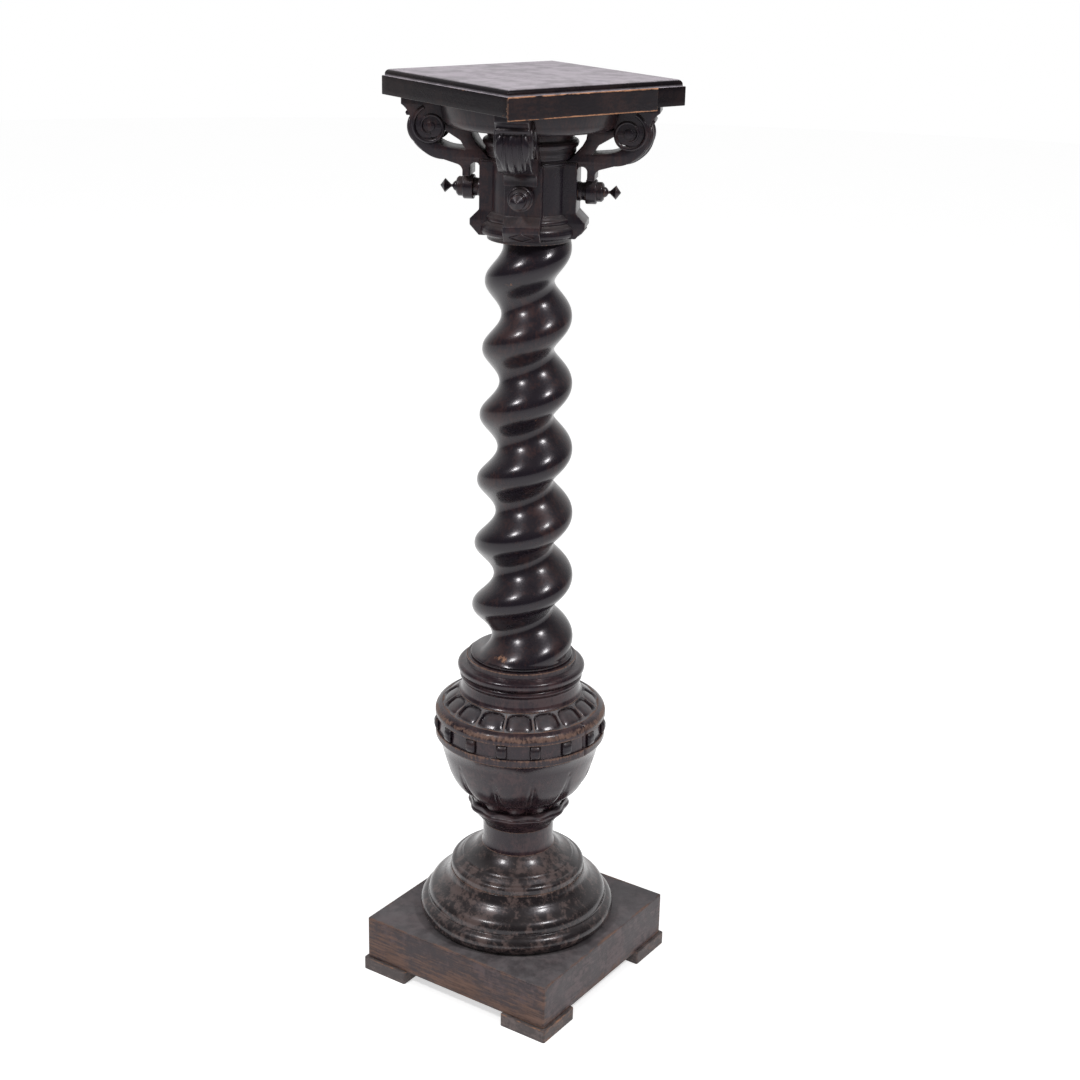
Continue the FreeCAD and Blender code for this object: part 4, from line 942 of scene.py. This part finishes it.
def make_urn():
    """The urn: bowl with petals, band with studs, shoulder with lobes, and collar."""
    bowl = ((0, 20), (48, 0), (48.8, 1), (57, 13, -0.06), (63.4, 21, -0.02), (63.5, 27, 0.3),
            (61.8, 34, 0.1), (64.5, 36), (69.5, 43, -0.02), (83, 59, 0.03), (93.8, 83, 0.04),
            (101, 109, 0.01), (108.3, 125, -0.04), (0, 125))
    add_piece("bowl_carved", [lathe(bowl, BOWL_LOW, False, 384, carve_petals)], "urn_satin", BASE,
              ["urn_bowl"])
    band = ((30.1, 0), (108.6, 0), (109.4, 1), (109.4, 9.5), (106.5, 9.5), (106.5, 29),
            (109.4, 29), (109.4, 34), (101, 43, 0.14), (30.1, 43))
    add_piece("band_turned", [lathe(band, BAND_LOW, True, 640, crack_band)], "urn_satin", BASE,
              ["urn_band"])
    stud = ((105.4, 9.75), (107.2, 9.75), (111.6, 19, 0.17), (107.2, 28.25, 0.17),
            (105.4, 28.25))
    studs = [plate(stud, 6.75, BAND_LOW, 360.0 / STUD_COUNT * number, rounding=3.2)
             for number in range(STUD_COUNT)]
    add_piece("studs_cut", studs, "ebonised_dusty", BASE, ["band_studs"])
    shoulder = ((30.1, 0), (101, 0), (79, 16.4), (30.1, 16.4))
    add_piece("shoulder_carved", [lathe(shoulder, SHOULDER_LOW, True, 448, carve_lobes, 1.2)],
              "shoulder_gloss", BASE, ["urn_shoulder"])
    collar = ((0, -77.4), (30, -77.4), (30, 0), (79, 0), (79, 2.2), (76.2, 8, -0.1), (75.2, 17),
              (76.8, 20.5, -0.1), (77.6, 25, 0.2), (75.4, 27.4, 0.1), (77.4, 28.8),
              (80.8, 34, 0.14), (75.6, 40.8, 0.26), (72, 41.6), (70.2, 42.2), (69.8, 44.4),
              (69.8, 49.6), (67.2, 49.6), (66.8, 49.0), (66.2, 49.6), (24.05, 49.6),
              (24.05, -46.1), (0, -46.1))
    add_piece("collar_turned", [lathe(collar, COLLAR_LOW, False, 256)], "urn_satin", BASE,
              ["urn_collar"])


def twist_rows(z, theta):
    """Radius of the twist at each height and angle, all arrays.

    The round section's middle lies off the axis by the throw, in a direction that turns once
    in each pitch. Seen from the axis, the radius is the throw times the cosine of the angle
    between, plus the root of the section's radius squared less the throw's part across. A
    power of the cosine's fall makes the ridges a little fuller than the grooves.
    """
    s = shape()
    share_up = np.clip(z / (TWIST_HEAD * MM), 0, 1)
    throw = s.twist_low_throw + (s.twist_high_throw - s.twist_low_throw) * share_up
    section = s.twist_low_radius + (s.twist_high_radius - s.twist_low_radius) * share_up
    bearing = theta - s.twist_phase - s.rest_turn - 2 * math.pi * z / s.twist_pitch
    full = 1 - 2 * ((1 - np.cos(bearing)) / 2) ** 1.25
    radius = throw * full + np.sqrt(section ** 2 - (throw * np.sin(bearing)) ** 2)
    return radius, full


# Rubbed places on the twist: height above its foot, degrees from the camera's side, half
# height and half width in degrees.
RUBBED = ((484, -27, 9, 17), (404, -6, 6, 9), (322, 18, 5, 12), (156, -22, 6, 20),
          (84, -32, 7, 18), (236, -30, 5, 14), (14, -25, 9, 40))


def rub_twist(z, theta):
    """Wear on the twist: bells in height and angle round its rubbed places and its joint."""
    front = bpy.context.scene.stand_studio.camera_bearing - math.pi / 2
    wear = 0 * (z + theta)
    for middle, side, tall, wide in RUBBED:
        aside = repeat_angle(theta, 1, front + math.radians(side))
        spot = 0.88 * bell(z, middle * MM, tall * MM) * bell(aside, 0.0, math.radians(wide))
        wear = np.maximum(wear, spot)
    joint = 0.72 * bell(repeat_angle(theta, 1, front + math.radians(6)), 0.0, 0.011)
    return np.maximum(wear, joint * bell(z, 180 * MM, 150 * MM))


def make_twist():
    """The barley-twist column with its round foot and its tenons.

    The rows of the twist swell at the foot by the square of the share of a short height, and
    wear follows a power of the crest.
    """
    theta = np.linspace(0.0, 2 * math.pi, 240, endpoint=False)[None, :]
    z = np.linspace(TWIST_FOOT, TWIST_HEAD, 264)[:, None] * MM
    radius, crest = twist_rows(z, theta)
    root = np.clip(1 - np.abs(z - TWIST_FOOT * MM) / (2.5 * MM), 0, 1)
    radius = radius + root ** 2 * 1.2 * MM
    foot = ((0, -95), (24, -95), (24, 0), (63.7, 0), (64.5, 0.8), (64.5, 3.4), (63.9, 4.4),
            (62.4, 5.2))
    foot = refine(soften(outline(foot), 0.5 * MM, False), 8 * MM, False)
    head = refine(outline(((20, TWIST_HEAD), (20, 682.7), (0, 682.7))), 8 * MM, False)
    full = 0 * theta
    radius = np.concatenate([foot[:, :1] + full, radius, head[:, :1] + full])
    height = np.concatenate([foot[:, 1:] + full, z + full, head[:, 1:] + full])
    grid = np.stack([radius * np.cos(theta), radius * np.sin(theta), height + TWIST_LOW * MM], -1)
    edge = np.maximum(np.clip(crest, 0, 1) ** 4 * 0.66, rub_twist(z, theta))
    hollow = np.clip(-crest, 0, 1) ** 2 * 0.5
    edge = np.concatenate([0 * foot[:, :1] + full + 0.3, edge, 0 * head[:, :1] + full])
    hollow = np.concatenate([0 * foot[:, :1] + full, hollow, 0 * head[:, :1] + full])
    add_piece("twist_carved", [surface(grid, edge=edge, hollow=hollow)], "ebonised_polish", COLUMN,
              ["twist_column"])


def lozenge(turn):
    """A lozenge on the slope under a pilaster's foot block, of four raised lines.

    Each line goes straight from one corner to the next, by a share of the way between.
    """
    slope = np.array([11.0, 0.0, 12.0])
    out = np.array([12.0, 0.0, -11.0]) / math.hypot(12.0, 11.0)
    corners = [np.array([57.0, side, 5.0]) + slope * up
               for up, side in ((0.08, 0.0), (0.5, 14.0), (0.92, 0.0), (0.5, -14.0))]
    t = np.linspace(0.0, 1.0, 12)
    shells = []
    for number, start in enumerate(corners):
        path = start + t[:, None] * (corners[(number + 1) % 4] - start)
        shells.append(ridge(path * MM, np.broadcast_to(out, path.shape), (0 * t + 1.1) * MM,
                            (0 * t + 1.3) * MM, 0.6 * MM, turn, DRUM_LOW, 6))
    return shells


def make_capital():
    """The capital's drum, its disc and the four pilasters."""
    drum = ((20.1, 0), (50, 0), (50, 4), (58, 8.3), (58.6, 13, 0.1), (54, 20.5, 0.15),
            (51.5, 22.4), (50.5, 29, 0.3), (48.5, 32), (46.5, 33), (46.5, 89.5),
            (47.5, 94.5, 0.4), (51.5, 97.5), (51.5, 101.5), (53, 102.5), (53, 108.5),
            (55.8, 112, 0.15), (52, 117.5, 0.3), (50.5, 118.5), (51, 120.5), (72, 131, -0.2),
            (20.1, 131))
    add_piece("drum_turned", [lathe(drum, DRUM_LOW, True)], "ebonised_dusty", COLUMN,
              ["capital_drum"])
    disc = ((0, 0), (93, 0), (103, 10, 0.18), (106.5, 29, 0.03), (0, 29))
    add_piece("disc_turned", [lathe(disc, DISC_LOW)], "ebonised_dusty", COLUMN, ["capital_disc"])
    side = ((40, 0), (57, 0), (68, 12), (68, 19), (57, 30), (57, 87.5), (40, 87.5))
    for number, quarter in enumerate(QUARTERS, start=1):
        turn = quarter + column_turn()
        shells = [plate(side, 21.5, DRUM_LOW + 5, turn)] + lozenge(turn)
        add_piece("pilaster_cut_%d" % number, shells, "ebonised_dusty", COLUMN,
                  ["pilaster_%d" % number])


def spiral(turn, side):
    """The raised volute on a bracket's face: a spiral that winds in to the eye.

    The angle falls evenly while the reach shrinks by a power of the way along.
    """
    t = np.linspace(0.0, 1.0, 90)
    sweep = math.radians(70) - t * math.radians(520)
    reach = (23.0 - 14.5 * t ** 0.8) * MM
    path = np.stack([VOLUTE_OUT * MM + reach * np.cos(sweep), 0 * t + side * 18.6 * MM,
                     VOLUTE_LEVEL * MM + reach * np.sin(sweep)], axis=-1)
    out = np.broadcast_to(np.array([0.0, side, 0.0]), path.shape)
    return ridge(path, out, (2.7 - 1.1 * t) * MM, (3.0 - 0.8 * t) * MM, 0.6 * MM, turn, BOARD_LOW)


def leaf(turn):
    """The carved leaf over the scroll's front: five lobes, the long ones with a vein.

    A lobe goes aside by a sine of the way along, and a power of a sine swells its width and
    height.
    """
    t = np.linspace(0.0, 1.0, 40)
    front = refine(outline(((141.5, -19), (139, -22), (127, -58, -0.153), (101, -68, -0.10))),
                   0.6 * MM, False)
    far = np.concatenate([[0], np.cumsum(np.linalg.norm(np.diff(front, axis=0), axis=1))])
    x = np.interp(t * far[-1], far, front[:, 0])
    z = np.interp(t * far[-1], far, front[:, 1])
    path = np.stack([x, 0 * t, z], axis=-1)
    along = np.gradient(path, axis=0)
    out = np.stack([-along[:, 2], 0 * t, along[:, 0]], axis=-1)
    out /= np.linalg.norm(out, axis=1)[:, None]
    shells = []
    lobes = ((0, 0, 7.5, 1.0, 3.4), (7.5, 8.5, 6.0, 0.88, 2.4), (-7.5, -8.5, 6.0, 0.88, 2.4),
             (11.5, 14.6, 4.6, 0.5, 3.6), (-11.5, -14.6, 4.6, 0.5, 3.6))
    for near, far_aside, width, length_share, lift in lobes:
        count = int(40 * length_share)
        u = np.linspace(0, 1, count)
        plump = np.sin(math.pi * np.clip(u, 0.02, 0.98)) ** 0.6
        lane = path[:count].copy()
        lane[:, 1] = (near + (far_aside - near) * np.sin(math.pi * 0.75 * u)) * MM
        shells.append(ridge(lane, out[:count], width * plump * MM, lift * plump * MM, 1.5 * MM,
                            turn, BOARD_LOW))
        if length_share > 0.8:
            shells.append(ridge(lane + out[:count] * (lift - 0.5) * plump[:, None] * MM,
                                out[:count], 1.1 * plump * MM, 1.3 * plump * MM, 0.5 * MM, turn,
                                BOARD_LOW, 6))
    return shells


def make_brackets():
    """The four scroll brackets, each with volutes, a leaf, a cornice and its eyes."""
    side = ((98, 0), (98, -29), (68, -29), (66.5, -40), (62, -48), (52, -59), (44, -67.5),
            (57, -67.5), (57, -74.5), (68.5, -76.5, -0.35), (68.5, -87.5), (77.5, -87.5),
            (77.5, -81), (84, -74, -0.15), (99.7, -69.5), (127, -58, 0.10), (139, -22, 0.153),
            (150, -8, -0.08), (150, 0), (98, 0))
    hole = ((74, -57), (90, -55.5), (115, -45, 0.08), (100, -35, -0.2), (80, -47), (74, -57))
    turns = np.linspace(0, 2 * math.pi, EYE_STEPS, endpoint=False)
    eye = tuple((VOLUTE_OUT + EYE_RADIUS * math.cos(a), VOLUTE_LEVEL + EYE_RADIUS * math.sin(a))
                for a in turns)
    step = ((136, -15), (143.6, -15), (145, -17.5), (143.6, -20.5), (136, -20.5), (136, -15))
    for number, quarter in enumerate(QUARTERS, start=1):
        turn = quarter + column_turn()
        shells = [plate(side, 19.0, BOARD_LOW, turn, (hole,), rounding=1.2)]
        shells.append(plate(eye, 20.2, BOARD_LOW, turn, rounding=0.8, step=3.0))
        shells.append(plate(step, 18.6, BOARD_LOW, turn, rounding=1.0))
        shells += [spiral(turn, 1.0), spiral(turn, -1.0)] + leaf(turn)
        add_piece("bracket_carved_%d" % number, shells, "ebonised_dusty", COLUMN,
                  ["bracket_%d" % number])


def make_bosses():
    """The spacer ring, the turned boss and the finial in front of each pilaster."""
    spacer = ((57, 0), (57, 11), (61.5, 10.2, -0.1), (66, 11), (66, 0))
    boss = ((66, 0), (66, 13.8), (67, 14.5), (77.8, 14.5), (79, 13.3), (79, 11.2), (80, 11.5),
            (84.6, 11.5), (87, 9.1), (86.2, 8.2), (87, 7.4), (87, 0))
    finial = ((42, 0), (42, 4), (87, 4), (87, 6.3), (92, 2.1, -0.15), (93, 1.7), (94, 1.7),
              (101, 8.3), (107, 0))
    for number, quarter in enumerate(QUARTERS, start=1):
        turn = quarter + column_turn()
        for label, steps in (("spacer", spacer), ("boss", boss), ("finial", finial)):
            add_piece("%s_turned_%d" % (label, number), [level_lathe(steps, BOSS_LEVEL, turn)],
                      "ebonised_dusty", COLUMN, ["%s_%d" % (label, number)])


def rub_board(grid):
    """Wear on the board's near upright corner, by the smaller of its two distances out."""
    near = np.minimum(grid[..., 0], -grid[..., 1])
    return 0.95 * np.clip((near - 120 * MM) / (4 * MM), 0, 1) * (grid[..., 2] < 1160.5 * MM)


def make_board():
    """The square board with its step and rounded edge, and the strip on one side."""
    steps = ((0, 0), (125, 0), (125, 21.5), (122.5, 21.7), (122.5, 23.7), (117.2, 29, 0.207),
             (0, 29))
    board = framed(steps, BOARD_LOW, turn=column_turn(), rounding=1.2, rub=rub_board)
    add_piece("board_shaped", [board], "board_satin", COLUMN, ["top_board"])
    strip = ((124, -3.75), (126, -3.75), (126, 21.75), (124, 21.75), (124, -3.75))
    shell = plate(strip, 104.0, BOARD_LOW, column_turn(), rounding=0.5, aside=-21.0)
    add_piece("strip_cut", [shell], "strip_worn", COLUMN, ["edge_strip"])


def finish_screws():
    """Give the screws, whose turned shape is right as it is, their steel."""
    for name in ("pad_screws", "top_screws"):
        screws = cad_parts[name]
        for slot in screws.material_slots:
            slot.material = once(bpy.data.materials, "screw_steel", build_steel)


# ---------------------------------------------------------------- studio

# The height that the lamps look at, the floor's glow, tones, rings, spokes and noise, and the
# room's strength for mirrored rays on the camera's side.
LAMP_AIM = 0.55
FLOOR_GLOW = 0.58
FLOOR_TONES = ((0.86, 0.86, 0.86, 1.0), (0.88, 0.88, 0.88, 1.0))
FLOOR_RINGS = (0.0, 0.4, 1.0, 2.5, 9.0)
FLOOR_SPOKES = 64
PAPER_GRAIN = (3.0, 4.0, 0.6)
DIM_SIDE = 0.12


def camera_matrix(s):
    """The camera's place: the view is turned by yaw, pitch and roll, then about the stand."""
    yaw, pitch, roll = s.camera_yaw, s.camera_pitch, s.camera_roll
    forward = Vector((math.sin(yaw) * math.cos(pitch), math.cos(yaw) * math.cos(pitch),
                      math.sin(pitch)))
    level = Vector((math.cos(yaw), -math.sin(yaw), 0.0))
    upright = level.cross(forward)
    right = math.cos(roll) * level + math.sin(roll) * upright
    up = -math.sin(roll) * level + math.cos(roll) * upright
    facing = Matrix((right, up, -forward)).transposed()
    turn = Matrix.Rotation(s.camera_bearing, 3, "Z")
    place = turn @ Vector((0.0, -s.camera_distance, s.camera_height))
    return Matrix.Translation(place) @ (turn @ facing).to_4x4()


def add_lamp(name, bearing, s):
    """A soft square lamp that looks at the middle of the stand.

    Its direction is level by the cosine of its elevation and upright by the sine.
    """
    lamp = bpy.data.lights.new(name, "AREA")
    lamp.size = s.lamp_size
    lamp.energy = s.lamp_power
    holder = bpy.data.objects.new(name, lamp)
    bpy.context.scene.collection.objects.link(holder)
    level = math.cos(s.lamp_elevation)
    away = Vector((level * math.cos(bearing), level * math.sin(bearing),
                   math.sin(s.lamp_elevation)))
    holder.location = Vector((0.0, 0.0, LAMP_AIM)) + away * s.lamp_distance
    holder.rotation_euler = away.to_track_quat("Z", "Y").to_euler()


def seen_or_mirrored(tree):
    """One for rays from the camera, mirrored rays and rays through glass: their maximum."""
    path = tree.nodes.new("ShaderNodeLightPath")
    seen = sum_up(tree, "MAXIMUM", path.outputs["Is Camera Ray"], path.outputs["Is Glossy Ray"])
    return sum_up(tree, "MAXIMUM", seen, path.outputs["Is Transmission Ray"])


def make_floor():
    """A wide pale floor that looks white to the camera and keeps the stand's shadow.

    A grid of rings round the stand, each a circle of directions times its radius.
    """
    t = np.linspace(0.0, 2 * math.pi, FLOOR_SPOKES, endpoint=False)
    ring = np.stack([np.cos(t), np.sin(t), 0 * t], axis=-1)
    grid = ring[None] * np.array(FLOOR_RINGS)[:, None, None]
    mesh = bpy.data.meshes.new("studio_floor")
    rows = np.arange(grid[..., 0].size).reshape(len(FLOOR_RINGS), FLOOR_SPOKES)
    quads = np.stack([rows[:-1], rows[1:], np.roll(rows[1:], -1, 1), np.roll(rows[:-1], -1, 1)], -1)
    mesh.from_pydata(grid.reshape(-1, 3).tolist(), [], quads.reshape(-1, 4).tolist())
    floor = bpy.data.objects.new("studio_floor", mesh)
    bpy.context.scene.collection.objects.link(floor)
    material, tree, shader, position = new_material("studio_paper")
    fill(tree, shader, {
        "Base Color": blend(tree, noise(tree, position, *PAPER_GRAIN), *FLOOR_TONES),
        "Roughness": 0.9, "Specular IOR Level": 0.0, "Emission Color": (1.0, 1.0, 1.0, 1.0),
        "Emission Strength": sum_up(tree, "MULTIPLY", seen_or_mirrored(tree), FLOOR_GLOW)})
    mesh.materials.append(material)


def make_world(strength, bearing):
    """A pale even room that shows as plain white.

    Mirrored rays see it white behind the stand and dim on the camera's side, by a smooth step
    of the cosine between the ray and the direction behind the stand.
    """
    world = bpy.data.worlds.new("studio_room")
    world.use_nodes = True
    bpy.context.scene.world = world
    tree = world.node_tree
    background = tree.nodes["Background"]
    background.inputs["Color"].default_value = (1.0, 1.0, 1.0, 1.0)
    direction = tree.nodes.new("ShaderNodeTexCoord").outputs["Generated"]
    away = (-math.sin(bearing), math.cos(bearing), 0.0)
    behind = add_node(tree, "ShaderNodeVectorMath", {0: direction, 1: away},
                      operation="DOT_PRODUCT").outputs["Value"]
    mirrored = spread(tree, behind, 0.0, 1.0, DIM_SIDE, 1.0)
    path = tree.nodes.new("ShaderNodeLightPath")
    light = add_node(tree, "ShaderNodeMix", {
        0: path.outputs["Is Glossy Ray"], 2: strength, 3: mirrored}).outputs[0]
    seen = sum_up(tree, "MAXIMUM", path.outputs["Is Camera Ray"],
                  path.outputs["Is Transmission Ray"])
    light = add_node(tree, "ShaderNodeMix", {0: seen, 2: light, 3: 1.0}).outputs[0]
    tree.links.new(light, background.inputs["Strength"])


def make_studio():
    """The camera, two soft lamps, the floor and the room."""
    s = bpy.context.scene.stand_studio
    lens = bpy.data.cameras.new("camera")
    lens.sensor_width = 36.0
    lens.lens = s.camera_lens
    camera = bpy.data.objects.new("camera", lens)
    camera.matrix_world = camera_matrix(s)
    bpy.context.scene.collection.objects.link(camera)
    bpy.context.scene.camera = camera
    front = s.camera_bearing - math.pi / 2
    add_lamp("lamp_left", front - s.lamp_side, s)
    add_lamp("lamp_right", front + s.lamp_side, s)
    make_floor()
    make_world(s.room_light, s.camera_bearing)
    bpy.context.scene.view_settings.view_transform = "Standard"


# ---------------------------------------------------------------- add-on

class StandStudio(bpy.types.Operator):
    """Add the camera, the soft lamps, the floor and the pale room."""
    bl_idname = "stand.studio"
    bl_label = "Studio"
    bl_options = {"REGISTER", "UNDO"}

    def execute(self, context):
        make_studio()
        return {"FINISHED"}


class StandFoot(bpy.types.Operator):
    """Add the four pads and the square plinth."""
    bl_idname = "stand.foot"
    bl_label = "Foot"
    bl_options = {"REGISTER", "UNDO"}

    def execute(self, context):
        make_foot()
        return {"FINISHED"}


class StandBase(bpy.types.Operator):
    """Add the base ring, the tier and the stem."""
    bl_idname = "stand.base"
    bl_label = "Stepped base"
    bl_options = {"REGISTER", "UNDO"}

    def execute(self, context):
        make_base()
        return {"FINISHED"}


class StandUrn(bpy.types.Operator):
    """Add the bowl, the band with its studs, the shoulder with its lobes and the collar."""
    bl_idname = "stand.urn"
    bl_label = "Urn"
    bl_options = {"REGISTER", "UNDO"}

    def execute(self, context):
        make_urn()
        return {"FINISHED"}


class StandTwist(bpy.types.Operator):
    """Add the barley-twist column."""
    bl_idname = "stand.twist"
    bl_label = "Barley twist"
    bl_options = {"REGISTER", "UNDO"}

    def execute(self, context):
        make_twist()
        return {"FINISHED"}


class StandCapital(bpy.types.Operator):
    """Add the drum, the disc and the pilasters."""
    bl_idname = "stand.capital"
    bl_label = "Capital"
    bl_options = {"REGISTER", "UNDO"}

    def execute(self, context):
        make_capital()
        return {"FINISHED"}


class StandBrackets(bpy.types.Operator):
    """Add the four carved scroll brackets."""
    bl_idname = "stand.brackets"
    bl_label = "Scroll brackets"
    bl_options = {"REGISTER", "UNDO"}

    def execute(self, context):
        make_brackets()
        return {"FINISHED"}


class StandBosses(bpy.types.Operator):
    """Add the spacers, bosses and finials."""
    bl_idname = "stand.bosses"
    bl_label = "Bosses and finials"
    bl_options = {"REGISTER", "UNDO"}

    def execute(self, context):
        make_bosses()
        return {"FINISHED"}


class StandBoard(bpy.types.Operator):
    """Add the square board and its edge strip."""
    bl_idname = "stand.board"
    bl_label = "Board"
    bl_options = {"REGISTER", "UNDO"}

    def execute(self, context):
        make_board()
        return {"FINISHED"}


class StandScrews(bpy.types.Operator):
    """Give the screws their steel."""
    bl_idname = "stand.screws"
    bl_label = "Screws"
    bl_options = {"REGISTER", "UNDO"}

    def execute(self, context):
        finish_screws()
        return {"FINISHED"}


OPERATORS = (StandStudio, StandFoot, StandBase, StandUrn, StandTwist,
             StandCapital, StandBrackets, StandBosses, StandBoard, StandScrews)
SETTINGS = (("stand_shape", StandShapeSettings), ("stand_wood", StandWoodSettings),
            ("stand_studio", StandStudioSettings))


class StandPanel(bpy.types.Panel):
    """Lists the stand's operators and settings in the sidebar."""
    bl_idname = "STAND_PT_panel"
    bl_label = "Pedestal stand"
    bl_space_type = "VIEW_3D"
    bl_region_type = "UI"
    bl_category = "Stand"

    def draw(self, context):
        for step in OPERATORS:
            self.layout.operator(step.bl_idname)
        for name, kind in SETTINGS:
            box = self.layout.box()
            for key in kind.__annotations__:
                box.prop(getattr(context.scene, name), key)


def register():
    """Register the settings, the operators and the panel."""
    for name, kind in SETTINGS:
        bpy.utils.register_class(kind)
        setattr(bpy.types.Scene, name, bpy.props.PointerProperty(type=kind))
    for kind in OPERATORS + (StandPanel,):
        bpy.utils.register_class(kind)


def unregister():
    """Take the panel, the operators and the settings out again."""
    for kind in reversed(OPERATORS + (StandPanel,)):
        bpy.utils.unregister_class(kind)
    for name, kind in SETTINGS:
        delattr(bpy.types.Scene, name)
        bpy.utils.unregister_class(kind)


def main():
    """Build the whole stand and its studio in order."""
    register()
    for step in OPERATORS:
        group, name = step.bl_idname.split(".")
        getattr(getattr(bpy.ops, group), name)()


if __name__ == "__main__":
    main()
